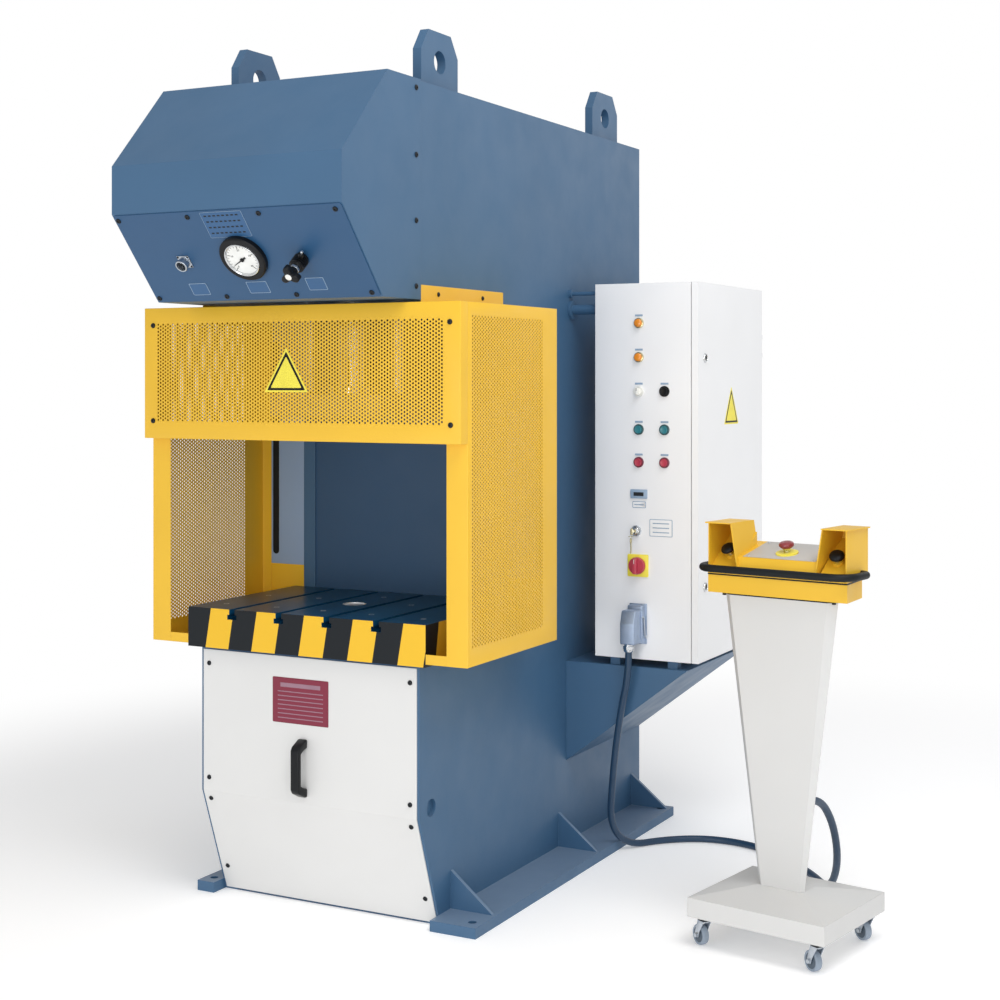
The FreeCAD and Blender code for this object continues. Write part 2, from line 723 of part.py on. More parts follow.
def ram_rod():
    return fuse([
        rod(press_axis(PLATEN_TOP), Z_AXIS, ROD_DIA, PISTON_BOTTOM - PLATEN_TOP),
        rod(press_axis(PISTON_BOTTOM), Z_AXIS, CYLINDER_BORE - 2 * SLIDE_GAP, PISTON_LENGTH),
        rod(press_axis(PLATEN_TOP), Z_AXIS, CYLINDER_BORE, PLATEN_THICK / 3),
    ])


def platen():
    plate = box(-PLATEN_WIDTH / 2, PLATEN_WIDTH / 2, PRESS_AXIS_Y - PLATEN_DEPTH / 2,
                PRESS_AXIS_Y + PLATEN_DEPTH / 2, PLATEN_BOTTOM, PLATEN_TOP)
    guides = [rod(V(x, PRESS_AXIS_Y, PLATEN_TOP), Z_AXIS, GUIDE_DIA, GUIDE_TOP - PLATEN_TOP)
              for x in (-GUIDE_SPAN / 2, GUIDE_SPAN / 2)]
    return fuse([plate] + guides)


def hydraulic_unit():
    """Oil tank on the base plate, with the motor and its pump lying on the lid."""
    top = BASE_PLATE_THICK + TANK_HEIGHT
    middle = TANK_FRONT + TANK_DEPTH / 2
    tank = box(-TANK_WIDTH / 2, TANK_WIDTH / 2, TANK_FRONT, TANK_FRONT + TANK_DEPTH,
               BASE_PLATE_THICK, top)
    axis_z = top + MOTOR_DIA / 2
    motor = rod(V(-MOTOR_LENGTH / 2, middle, axis_z), X_AXIS, MOTOR_DIA, MOTOR_LENGTH)
    pump = rod(V(MOTOR_LENGTH / 2, middle, axis_z), X_AXIS, PUMP_DIA, PUMP_LENGTH)
    cradle = box(-MOTOR_LENGTH / 2, MOTOR_LENGTH / 2, middle - MOTOR_DIA / 3,
                 middle + MOTOR_DIA / 3, top, axis_z)
    return fuse([tank, motor, pump, cradle])


# ---- head cover and control panel

def head_cover():
    """One folded sheet round the head's nose: roof, brow, face, inclined window frame and cheeks."""
    outline = [
        (COVER_REAR, FRAME_TOP + COVER_SHEET), (COVER_BROW_Y, FRAME_TOP + COVER_SHEET),
        (COVER_FACE_Y, COVER_FACE_TOP), (COVER_FACE_Y, COVER_FACE_BOTTOM),
        (COVER_CHIN_Y, HEAD_UNDERSIDE), (COVER_REAR, HEAD_UNDERSIDE),
    ]
    hollow = inset_outline(outline, COVER_SHEET)
    open_rear = COVER_REAR + COVER_SHEET
    hollow[0] = (open_rear, FRAME_TOP)
    hollow[-1] = (open_rear, HEAD_UNDERSIDE + COVER_SHEET)
    cover = prism_x(outline, -HALF_FRAME - COVER_SHEET, HALF_FRAME + COVER_SHEET)
    cover = cover.cut(prism_x(hollow, -HALF_FRAME, HALF_FRAME))
    cover = cover.cut(box(-HALF_FRAME, HALF_FRAME, HEAD_FRONT, open_rear, HEAD_UNDERSIDE, FRAME_TOP))
    window = box(-HALF_FRAME + COVER_WINDOW_MARGIN, HALF_FRAME - COVER_WINDOW_MARGIN,
                 COVER_WINDOW_MARGIN, SLOPE_LENGTH - COVER_WINDOW_MARGIN,
                 -3 * COVER_SHEET, 0)
    return cover.cut(on_panel(window))


def control_panel():
    half = HALF_FRAME + COVER_SHEET - PANEL_MARGIN
    plate = rounded_rect(-half, half, PANEL_MARGIN, SLOPE_LENGTH - PANEL_MARGIN,
                         PANEL_CORNER, PANEL_SHEET)
    plate.translate(V(0, 0, -PANEL_SHEET))
    holes = [
        rod(V(0, GAUGE_UP, -PANEL_SHEET), Z_AXIS, GAUGE_CASE_DIA + 2 * SEAT_GAP, PANEL_SHEET),
        rod(V(SOCKET_X, SOCKET_UP, -PANEL_SHEET), Z_AXIS, SOCKET_DIA, PANEL_SHEET),
        rod(V(VALVE_X, VALVE_UP, -PANEL_SHEET), Z_AXIS, VALVE_NECK_DIA, PANEL_SHEET),
    ]
    return on_panel(plate.cut(holes))


def pressure_gauge():
    """Cup-shaped case with a front flange and a bezel ring; the pointer turns on a pin inside."""
    case = fuse([
        rod(V(0, GAUGE_UP, -GAUGE_DEPTH), Z_AXIS, GAUGE_CASE_DIA, GAUGE_DEPTH + GAUGE_CASE_HEIGHT),
        rod(V(0, GAUGE_UP, 0), Z_AXIS, GAUGE_FLANGE_DIA, GAUGE_FLANGE_THICK),
    ])
    bore = GAUGE_CASE_DIA - 2 * GAUGE_WALL
    case = case.cut(rod(V(0, GAUGE_UP, GAUGE_CASE_HEIGHT / 3), Z_AXIS, bore, GAUGE_CASE_HEIGHT))
    pin = rod(V(0, GAUGE_UP, GAUGE_CASE_HEIGHT / 3), Z_AXIS,
              POINTER_PIN_DIA, GAUGE_CASE_HEIGHT / 2)
    return on_panel(fuse([case, pin]))


def gauge_pointer():
    """Hub and tapered hand, resting at the dial's zero on the lower left."""
    base = GAUGE_CASE_HEIGHT / 3 + 2 * POINTER_THICK
    hand = prism_z([(-POINTER_TAIL, POINTER_WIDTH), (-POINTER_TAIL, -POINTER_WIDTH),
                    (POINTER_LENGTH, -POINTER_WIDTH / 5), (POINTER_LENGTH, POINTER_WIDTH / 5)],
                   base, base + POINTER_THICK)
    hub = rod(V(0, 0, base), Z_AXIS, 2 * POINTER_PIN_DIA, 2 * POINTER_THICK)
    hand = fuse([hand, hub]).cut(rod(V(0, 0, base), Z_AXIS,
                                     POINTER_PIN_DIA + 2 * SLIDE_GAP, 2 * POINTER_THICK))
    hand.rotate(V(0, 0, 0), Z_AXIS, 180 + POINTER_REST / 2)
    hand.translate(V(0, GAUGE_UP, 0))
    return on_panel(hand)


def panel_socket():
    half = SOCKET_FLANGE / 2
    flange = rounded_rect(SOCKET_X - half, SOCKET_X + half, SOCKET_UP - half, SOCKET_UP + half,
                          half / 4, SOCKET_HEIGHT / 5)
    barrel = tube(V(SOCKET_X, SOCKET_UP, 0), Z_AXIS, SOCKET_DIA, SOCKET_DIA * 0.75, SOCKET_HEIGHT)
    return on_panel(fuse([flange, barrel]))


def regulator_valve():
    half = VALVE_BODY / 2
    body = rounded_rect(VALVE_X - half, VALVE_X + half, VALVE_UP - half, VALVE_UP + half,
                        half / 3, VALVE_BODY_HEIGHT)
    neck = rod(V(VALVE_X, VALVE_UP, VALVE_BODY_HEIGHT), Z_AXIS, VALVE_NECK_DIA, VALVE_NECK_HEIGHT)
    seat = VALVE_BODY_HEIGHT + VALVE_NECK_HEIGHT
    body = fuse([body, neck])
    hole = rod(V(VALVE_X, VALVE_UP, seat - KNOB_HEIGHT), Z_AXIS,
               KNOB_SPINDLE_DIA + 2 * SLIDE_GAP, KNOB_HEIGHT)
    return on_panel(body.cut(hole))


def regulator_knob():
    """Three-lobed knob on a spindle that turns in the valve's neck."""
    seat = VALVE_BODY_HEIGHT + VALVE_NECK_HEIGHT + SEAT_GAP
    lobes = [rod(V(VALVE_X + a, VALVE_UP + b, seat), Z_AXIS, KNOB_LOBE_DIA, KNOB_HEIGHT)
             for a, b in ring_points(3, KNOB_LOBE_RADIUS, start=90)]
    core = rod(V(VALVE_X, VALVE_UP, seat), Z_AXIS, 2 * KNOB_LOBE_RADIUS, KNOB_HEIGHT)
    spindle = rod(V(VALVE_X, VALVE_UP, seat - KNOB_HEIGHT), Z_AXIS, KNOB_SPINDLE_DIA, KNOB_HEIGHT)
    return on_panel(fuse([core, spindle] + lobes))


# ---- guard

def perforated_x(u_range, w_range, face):
    """Diamond holes through a sheet that stands square to X."""
    half = PERFORATION_SIZE / 2
    return [prism_x([(y - half, z), (y, z - half), (y + half, z), (y, z + half)],
                    face - 2 * GUARD_SHEET, face + GUARD_SHEET)
            for y, z in diamond_lattice(*u_range, *w_range)]


def perforated_y(u_range, w_range, face):
    """Diamond holes through a sheet that stands square to Y."""
    half = PERFORATION_SIZE / 2
    return [prism_y([(x - half, z), (x, z - half), (x + half, z), (x, z + half)],
                    face - GUARD_SHEET, face + 2 * GUARD_SHEET)
            for x, z in diamond_lattice(*u_range, *w_range)]


def guard_side():
    """Right side panel: perforated wall, front post, rear flange, roof, tab, floor flange and sill."""
    wall = GUARD_HALF - GUARD_SHEET
    tab = HALF_FRAME + GUARD_SHEET
    pieces = [
        box(wall, GUARD_HALF, GUARD_FRONT, GUARD_REAR, GUARD_BOTTOM, GUARD_TOP),
        box(GUARD_HALF - POST_WIDTH, GUARD_HALF, GUARD_FRONT, GUARD_FRONT + GUARD_SHEET,
            GUARD_BOTTOM, GUARD_TOP),
        box(GUARD_HALF - REAR_FLANGE, GUARD_HALF, GUARD_REAR - GUARD_SHEET, GUARD_REAR,
            GUARD_BOTTOM, GUARD_TOP),
        box(HALF_FRAME, GUARD_HALF, GUARD_FRONT, GUARD_REAR, GUARD_TOP - GUARD_SHEET, GUARD_TOP),
        box(HALF_FRAME, tab, GUARD_TAB_FRONT, GUARD_TAB_REAR, GUARD_TOP - GUARD_SHEET,
            GUARD_TAB_TOP),
        box(TABLE_HALF, GUARD_HALF, GUARD_FRONT, GUARD_REAR, GUARD_BOTTOM,
            GUARD_BOTTOM + GUARD_SHEET),
        box(TABLE_HALF, GUARD_HALF, GUARD_FRONT, GUARD_FRONT + GUARD_SHEET, GUARD_BOTTOM,
            GUARD_BOTTOM + SILL_HEIGHT),
    ]
    holes = perforated_x((SIDE_FIELD_FRONT, SIDE_FIELD_REAR), (SIDE_FIELD_BOTTOM, SIDE_FIELD_TOP),
                         wall)
    return fuse(pieces).cut(holes)


def guard_front_panel():
    """Shallow tray whose returned edges butt against the posts."""
    panel = box(-GUARD_HALF, GUARD_HALF, FRONT_PANEL_FACE, GUARD_FRONT,
                FRONT_PANEL_BOTTOM, GUARD_TOP)
    panel = panel.cut(box(-GUARD_HALF + GUARD_SHEET, GUARD_HALF - GUARD_SHEET,
                          FRONT_PANEL_FACE + GUARD_SHEET, GUARD_FRONT,
                          FRONT_PANEL_BOTTOM + GUARD_SHEET, GUARD_TOP - GUARD_SHEET))
    half = FRONT_FIELD_WIDTH / 2
    holes = perforated_y((-half, half), (FRONT_FIELD_BOTTOM, FRONT_FIELD_TOP), FRONT_PANEL_FACE)
    return panel.cut(holes)


def guard_rear_plates():
    """Slotted closing plate and the filler below it, behind each side panel's rear flange."""
    outer = GUARD_HALF - 2 * GUARD_SHEET
    back = GUARD_REAR + GUARD_SHEET
    plate = box(HALF_FRAME + REAR_PLATE_CLEAR, outer, GUARD_REAR, back, REAR_PLATE_LOWER_END,
                GUARD_TOP - 2 * GUARD_SHEET)
    radius = REAR_SLOT_WIDTH / 2
    middle = GUARD_HALF - REAR_SLOT_EDGE - radius
    low = REAR_SLOT_BOTTOM + radius
    slot = fuse([
        box(middle - radius, middle + radius, GUARD_REAR, back, low, REAR_SLOT_TOP),
        rod(V(middle, GUARD_REAR, low), Y_AXIS, REAR_SLOT_WIDTH, GUARD_SHEET),
        rod(V(middle, GUARD_REAR, REAR_SLOT_TOP), Y_AXIS, REAR_SLOT_WIDTH, GUARD_SHEET),
    ])
    plate = plate.cut(slot)
    filler = box(HALF_FRAME, outer, GUARD_REAR, back, GUARD_BOTTOM, FILLER_TOP)
    return [plate, mirrored(plate), filler, mirrored(filler)]


def cover_screws():
    """Screws of the front panel, long enough to reach the posts behind it."""
    screws = []
    reach = GUARD_FRONT - FRONT_PANEL_FACE
    x = GUARD_HALF - POST_WIDTH / 2
    for z in (FRONT_FIELD_BOTTOM, FRONT_FIELD_TOP):
        head = rod(V(x, FRONT_PANEL_FACE - SCREW_HEAD_HEIGHT, z), Y_AXIS,
                   SCREW_HEAD_DIA, SCREW_HEAD_HEIGHT)
        shank = rod(V(x, FRONT_PANEL_FACE, z), Y_AXIS, SCREW_DIA, reach)
        screw = fuse([head, shank])
        screws += [screw, mirrored(screw)]
    return screws


def screw_holes():
    x = GUARD_HALF - POST_WIDTH / 2
    holes = []
    for z in (FRONT_FIELD_BOTTOM, FRONT_FIELD_TOP):
        hole = rod(V(x, FRONT_PANEL_FACE, z), Y_AXIS, SCREW_DIA + 2 * SLIDE_GAP, GUARD_SHEET)
        holes += [hole, mirrored(hole)]
    return holes


# ---- lower front cover

def lower_front_cover():
    front = BED_FRONT - FRONT_COVER_SHEET
    low = toe_y(FRONT_COVER_CLEAR)
    outline = [
        (BED_FRONT, FRONT_COVER_TOP), (front, FRONT_COVER_TOP), (front, KINK_HEIGHT),
        (low - FRONT_COVER_SHEET, FRONT_COVER_CLEAR), (low, FRONT_COVER_CLEAR),
        (BED_FRONT, KINK_HEIGHT),
    ]
    return prism_x(outline, -FRONT_COVER_WIDTH / 2, FRONT_COVER_WIDTH / 2)


def cover_handle():
    """Bridge handle with slanted shoulders."""
    seat = BED_FRONT - FRONT_COVER_SHEET
    crown = seat - HANDLE_STAND
    inner = crown + HANDLE_GRIP
    foot = 1.5 * HANDLE_GRIP
    outline = [
        (seat, HANDLE_BOTTOM), (crown + HANDLE_GRIP, HANDLE_BOTTOM), (crown, HANDLE_BOTTOM + foot),
        (crown, HANDLE_TOP - foot), (crown + HANDLE_GRIP, HANDLE_TOP), (seat, HANDLE_TOP),
        (seat, HANDLE_TOP - foot), (inner, HANDLE_TOP - foot - HANDLE_GRIP / 2),
        (inner, HANDLE_BOTTOM + foot + HANDLE_GRIP / 2), (seat, HANDLE_BOTTOM + foot),
    ]
    return prism_x(outline, HANDLE_X - HANDLE_WIDTH / 2, HANDLE_X + HANDLE_WIDTH / 2)


# ---- switch cabinet

def cabinet_z(share):
    """Height of a point on the cabinet, given as a share of the cabinet's own height."""
    return CABINET_BOTTOM + share * CABINET_HEIGHT


def on_front(spot, height=0.0):
    """A point on the cabinet's front, standing a height out of it."""
    return V(spot[0], CABINET_FRONT - height, cabinet_z(spot[1]))


def front_plate(spot, width, height, out, deep=0.0):
    """Rectangular piece centred on a spot of the cabinet's front."""
    x, z = spot[0], cabinet_z(spot[1])
    return box(x - width / 2, x + width / 2, CABINET_FRONT - out, CABINET_FRONT + deep,
               z - height / 2, z + height / 2)


def front_disc(spot, dia, out, deep):
    """Round piece through the cabinet's front, from out in front of it to deep inside."""
    return rod(on_front(spot, out), Y_AXIS, dia, out + deep)


def cabinet_body():
    """Welded box open to the right, with a lip round the opening, hinge ears and mounting plate."""
    left, right, front, rear = CABINET_LEFT, CABINET_RIGHT, CABINET_FRONT, CABINET_REAR
    low, high, sheet, lip = CABINET_BOTTOM, CABINET_TOP, CABINET_SHEET, CABINET_LIP
    mouth = right - sheet
    front_wall = box(left, mouth, front, front + sheet, low, high)
    left_wall = box(left, left + sheet, front + sheet, rear - sheet, low, high)
    walls = [box(left, mouth, rear - sheet, rear, low, high)]
    for z in (low, high - sheet):
        walls.append(box(left + sheet, mouth, front + sheet, rear - sheet, z, z + sheet))
    for y in (front, rear - lip):
        walls.append(box(mouth, right, y, y + lip, low, high))
    for z in (low, high - lip):
        walls.append(box(mouth, right, front + lip, rear - lip, z, z + lip))
    holes = [front_disc(spot, BUTTON_DIA + 2 * SLEEVE_WALL, 0, sheet)
             for spot in list(BUTTON_SPOTS.values()) + list(LIGHT_SPOTS) + [SELECTOR_SPOT, KEY_SPOT]]
    holes.append(front_disc(ISOLATOR_SPOT, ISOLATOR_SHAFT_DIA + 2 * SEAT_GAP, 0, sheet))
    conduit_hole = rod(V(left, CONDUIT_Y, cabinet_z(CONDUIT_SHARE)), X_AXIS, CONDUIT_BORE, sheet)
    return group([front_wall.cut(holes), left_wall.cut(conduit_hole), mounting_plate()]
                 + walls + hinge_ears())


def mounting_plate():
    """Plate on four spacers inside the cabinet, with its rows of switchgear."""
    low, high, sheet, margin = CABINET_BOTTOM, CABINET_TOP, CABINET_SHEET, MOUNTING_PLATE_MARGIN
    front, rear, wall = CABINET_FRONT, CABINET_REAR, CABINET_LEFT + CABINET_SHEET
    plate_x = wall + MOUNTING_PLATE_GAP
    pieces = [box(plate_x, plate_x + sheet, front + margin, rear - margin,
                  low + margin, high - margin)]
    for y in (front + 2 * margin, rear - 2 * margin):
        for z in (low + 2 * margin, high - 2 * margin):
            pieces.append(rod(V(wall, y, z), X_AXIS, margin / 3, MOUNTING_PLATE_GAP))
    face = plate_x + sheet
    for share, depth, height in SWITCHGEAR_ROWS:
        base = cabinet_z(share)
        pieces.append(box(face, face + depth, front + 2 * margin, rear - 2 * margin,
                          base, base + height))
    return fuse(pieces)


def hinge_ears():
    """The cabinet's side of each hinge: two ears and the pin between them."""
    half, ear = HINGE_BARREL_LENGTH / 2, HINGE_BARREL_DIA
    hinges = []
    for z in map(cabinet_z, HINGE_SHARES):
        pieces = [rod(V(HINGE_X, HINGE_Y, z - half - ear), Z_AXIS, HINGE_PIN_DIA,
                      2 * half + 2 * ear)]
        for base in (z - half - ear - SEAT_GAP, z + half + SEAT_GAP):
            pieces.append(box(CABINET_RIGHT - 2 * ear, HINGE_X + ear / 2, CABINET_REAR,
                              HINGE_Y + ear / 2, base, base + ear))
        hinges.append(fuse(pieces))
    return hinges


def cabinet_door():
    """Pan-shaped door: face sheet with returned edges, hinge leaves with barrels, lock holes."""
    y0, y1 = CABINET_FRONT, DOOR_REAR
    low, high, sheet = CABINET_BOTTOM, CABINET_TOP, DOOR_SHEET
    pan = box(DOOR_INNER, DOOR_OUTER, y0, y1, low, high)
    pan = pan.cut(box(DOOR_INNER, DOOR_OUTER - sheet, y0 + sheet, y1 - sheet,
                      low + sheet, high - sheet))
    pieces = [pan]
    half = HINGE_BARREL_LENGTH / 2
    for z in map(cabinet_z, HINGE_SHARES):
        pieces.append(box(HINGE_X - sheet, HINGE_X + sheet, y1, HINGE_Y, z - half, z + half))
        pieces.append(rod(V(HINGE_X, HINGE_Y, z - half), Z_AXIS, HINGE_BARREL_DIA, 2 * half))
    door = fuse(pieces)
    bores = [rod(V(HINGE_X, HINGE_Y, z - half), Z_AXIS, HINGE_PIN_DIA + 2 * SLIDE_GAP, 2 * half)
             for z in map(cabinet_z, HINGE_SHARES)]
    for z in map(cabinet_z, (LOCK_LOWER_SHARE, LOCK_UPPER_SHARE)):
        bores.append(rod(V(DOOR_OUTER - sheet, LOCK_Y, z), X_AXIS,
                         LOCK_DIA + 2 * SLIDE_GAP, sheet))
    return door.cut(bores)


def door_lock(z):
    """Quarter-turn lock: slotted head outside, barrel through the sheet, cam turned upright."""
    cam_x = CABINET_RIGHT - CABINET_SHEET - LOCK_CAM_BEHIND - LOCK_CAM_THICK
    head = rod(V(DOOR_OUTER, LOCK_Y, z), X_AXIS, LOCK_HEAD_DIA, LOCK_HEAD_HEIGHT)
    slot = box(DOOR_OUTER + LOCK_HEAD_HEIGHT / 2, DOOR_OUTER + LOCK_HEAD_HEIGHT,
               LOCK_Y - LOCK_DIA / 8, LOCK_Y + LOCK_DIA / 8, z - LOCK_DIA / 3, z + LOCK_DIA / 3)
    barrel = rod(V(cam_x, LOCK_Y, z), X_AXIS, LOCK_DIA, DOOR_OUTER - cam_x)
    cam = box(cam_x, cam_x + LOCK_CAM_THICK, LOCK_Y - LOCK_CAM_WIDTH / 2,
              LOCK_Y + LOCK_CAM_WIDTH / 2, z, z + LOCK_CAM_LENGTH)
    return fuse([head.cut(slot), barrel, cam])


def cabinet_bracket():
    """Triangular cheeks and an inclined plate, welded to the frame, with spacers on top."""
    tip = BRACKET_TOP - BRACKET_DROP
    triangle = [(HALF_FRAME, BRACKET_TOP), (BRACKET_REACH, BRACKET_TOP), (HALF_FRAME, tip)]
    cheeks = [prism_y(triangle, BRACKET_FRONT, BRACKET_FRONT + BRACKET_SHEET),
              prism_y(triangle, BRACKET_REAR - BRACKET_SHEET, BRACKET_REAR)]
    deck = prism_y([(HALF_FRAME, BRACKET_TOP), (BRACKET_REACH, BRACKET_TOP),
                    (BRACKET_REACH - BRACKET_SHEET, BRACKET_TOP - BRACKET_SHEET),
                    (HALF_FRAME, BRACKET_TOP - BRACKET_SHEET)], BRACKET_FRONT, BRACKET_REAR)
    belly = prism_y([(BRACKET_REACH, BRACKET_TOP), (HALF_FRAME, tip),
                     (HALF_FRAME, tip + 2 * BRACKET_SHEET),
                     (BRACKET_REACH - 2 * BRACKET_SHEET, BRACKET_TOP)],
                    BRACKET_FRONT, BRACKET_REAR)
    half = SPACER_WIDTH / 2
    spacers = [box(x - half, x + half, y - half, y + half, BRACKET_TOP, CABINET_BOTTOM)
               for x in (HALF_FRAME + SPACER_INNER, BRACKET_REACH - SPACER_OUTER)
               for y in (BRACKET_FRONT + SPACER_WIDTH, BRACKET_REAR - SPACER_WIDTH)]
    return fuse(cheeks + [deck, belly] + spacers)


def cabinet_stays():
    """Distance stud and wiring conduit between the frame and the cabinet's left wall."""
    span = CABINET_LEFT - HALF_FRAME
    stud_foot = V(HALF_FRAME, STUD_Y, cabinet_z(STUD_SHARE))
    stud = fuse([
        rod(stud_foot, X_AXIS, STUD_DIA, span),
        rod(stud_foot, X_AXIS, STUD_HEAD_DIA, STUD_HEAD_THICK),
    ])
    conduit_foot = V(HALF_FRAME, CONDUIT_Y, cabinet_z(CONDUIT_SHARE))
    conduit = fuse([
        tube(conduit_foot, X_AXIS, CONDUIT_FLANGE_DIA, CONDUIT_BORE, CONDUIT_FLANGE_THICK),
        tube(conduit_foot, X_AXIS, CONDUIT_DIA, CONDUIT_BORE, span),
    ])
    return [stud, conduit]


# ---- devices on the cabinet's front

def contact_block(spot):
    return front_plate(spot, CONTACT_BLOCK, CONTACT_BLOCK, -SLEEVE_LENGTH,
                       SLEEVE_LENGTH + CONTACT_DEPTH)


def bezel(spot):
    """Front ring, threaded sleeve through the sheet and contact block behind it."""
    sleeve_dia = BUTTON_DIA + 2 * SLEEVE_WALL
    body = fuse([
        front_disc(spot, BEZEL_DIA, BEZEL_HEIGHT, 0),
        front_disc(spot, sleeve_dia, 0, SLEEVE_LENGTH),
        contact_block(spot),
    ])
    return body.cut(front_disc(spot, BUTTON_DIA + 2 * SLIDE_GAP, BEZEL_HEIGHT, SLEEVE_LENGTH))


def button_core(spot, proud):
    """Round plunger that ends short of its contact block by its travel."""
    return front_disc(spot, BUTTON_DIA, BEZEL_HEIGHT + proud, SLEEVE_LENGTH - BUTTON_TRAVEL - 1)


def pilot_light(spot):
    """Ring with a standing lens and its lamp holder."""
    return fuse([
        front_disc(spot, BEZEL_DIA, BEZEL_HEIGHT, 0),
        front_disc(spot, BUTTON_DIA, 2 * BEZEL_HEIGHT, SLEEVE_LENGTH),
        contact_block(spot),
    ])


def mode_selector():
    seat = BEZEL_HEIGHT + BUTTON_PROUD
    grip = front_plate(SELECTOR_SPOT, SELECTOR_GRIP, BUTTON_DIA, seat + SELECTOR_HEIGHT, -seat)
    round_grip = grip.common(front_disc(SELECTOR_SPOT, BUTTON_DIA, seat + SELECTOR_HEIGHT, -seat))
    return fuse([button_core(SELECTOR_SPOT, BUTTON_PROUD), round_grip])


def key_switch():
    """Lock barrel with the key in it and a second key hanging from its bow."""
    x, z = KEY_SPOT[0], cabinet_z(KEY_SPOT[1])
    face = CABINET_FRONT - BEZEL_HEIGHT - BUTTON_PROUD
    barrel = rod(V(x, face - KEY_BARREL_HEIGHT, z), Y_AXIS, 0.7 * BUTTON_DIA, KEY_BARREL_HEIGHT)
    tip = face - KEY_BARREL_HEIGHT
    half = KEY_THICK / 2
    blade = box(x - half, x + half, tip - KEY_LENGTH, tip, z - KEY_HEAD / 6, z + KEY_HEAD / 6)
    bow = box(x - half, x + half, tip - KEY_LENGTH, tip - KEY_LENGTH / 3,
              z - KEY_HEAD / 2, z + KEY_HEAD / 2)
    spare = box(x - half, x + half, tip - KEY_LENGTH, tip - KEY_LENGTH + KEY_HEAD / 2,
                z - KEY_HEAD / 2 - 2 * KEY_LENGTH, z - KEY_HEAD / 2)
    return fuse([button_core(KEY_SPOT, BUTTON_PROUD), barrel, blade, bow, spare])


def device_plates():
    """Hour meter, two bare label plates and the isolator's square backing plate."""
    plates = [front_plate(METER_SPOT, *METER_SIZE, METER_HEIGHT)]
    for x, share, width, height in FRONT_PLATES:
        plates.append(front_plate((x, share), width, height, LABEL_SHEET))
    backing = front_plate(ISOLATOR_SPOT, ISOLATOR_PLATE, ISOLATOR_PLATE, ISOLATOR_PLATE_THICK)
    hole = front_disc(ISOLATOR_SPOT, ISOLATOR_SHAFT_DIA + 2 * SLIDE_GAP, ISOLATOR_PLATE_THICK, 0)
    plates.append(backing.cut(hole))
    return plates


def isolator_knob():
    seat = ISOLATOR_PLATE_THICK + SEAT_GAP
    crown = seat + ISOLATOR_KNOB_HEIGHT
    disc = front_disc(ISOLATOR_SPOT, ISOLATOR_KNOB_DIA, crown, -seat)
    grip = front_plate(ISOLATOR_SPOT, ISOLATOR_GRIP_WIDTH, ISOLATOR_GRIP_LENGTH,
                       crown + ISOLATOR_GRIP_HEIGHT, -crown)
    shaft = front_disc(ISOLATOR_SPOT, ISOLATOR_SHAFT_DIA, seat, 2 * ISOLATOR_KNOB_HEIGHT)
    return fuse([disc, grip, shaft])


# ---- plug connector

def connector_base():
    half = CONNECTOR_WIDTH / 2
    base = box(CONNECTOR_X - half, CONNECTOR_X + half, CABINET_FRONT - CONNECTOR_BASE_HEIGHT,
               CABINET_FRONT, CONNECTOR_BOTTOM, CONNECTOR_TOP)
    pivot_y = CABINET_FRONT - CONNECTOR_BASE_HEIGHT / 2
    return base.cut(rod(V(CONNECTOR_X + half - 2 * LEVER_WIRE, pivot_y, LEVER_PIVOT_Z), X_AXIS,
                        1.5 * LEVER_WIRE + 2 * SLIDE_GAP, 2 * LEVER_WIRE))


def connector_hood():
    """Hood with a slanted crown; the cable leaves through the gland on its underside."""
    back = CABINET_FRONT - CONNECTOR_BASE_HEIGHT
    front = back - HOOD_HEIGHT
    low, high = CONNECTOR_BOTTOM + LEVER_WIRE, CONNECTOR_TOP - 2.5 * LEVER_WIRE
    half = CONNECTOR_WIDTH / 2 - LEVER_WIRE / 2
    outline = [(back, low), (front, low), (front, high - 3 * HOOD_TOP_INSET),
               (front + HOOD_TOP_INSET, high), (back, high)]
    shell = prism_x(outline, CONNECTOR_X - half, CONNECTOR_X + half)
    gland_x, gland_y, gland_z = CABLE_ROUTE[0]
    gland = rod(V(gland_x, gland_y, gland_z), Z_AXIS, GLAND_DIA, low - gland_z)
    return fuse([shell, gland])


def connector_lever():
    """Side clip that turns on a pin in the base."""
    side = CONNECTOR_X + CONNECTOR_WIDTH / 2 + SEAT_GAP
    pivot_y = CABINET_FRONT - CONNECTOR_BASE_HEIGHT / 2
    half = 1.2 * LEVER_WIRE
    arm = prism_x([
        (pivot_y + half, LEVER_PIVOT_Z - half), (pivot_y - half, LEVER_PIVOT_Z - half),
        (pivot_y - 4 * half, LEVER_PIVOT_Z + LEVER_REACH), (pivot_y - half,
                                                            LEVER_PIVOT_Z + LEVER_REACH),
        (pivot_y + half, LEVER_PIVOT_Z + half)], side, side + LEVER_WIRE)
    pin = rod(V(side - 1.5 * LEVER_WIRE, pivot_y, LEVER_PIVOT_Z), X_AXIS,
              1.5 * LEVER_WIRE, 2 * LEVER_WIRE)
    return fuse([arm, pin])


# ---- control cable

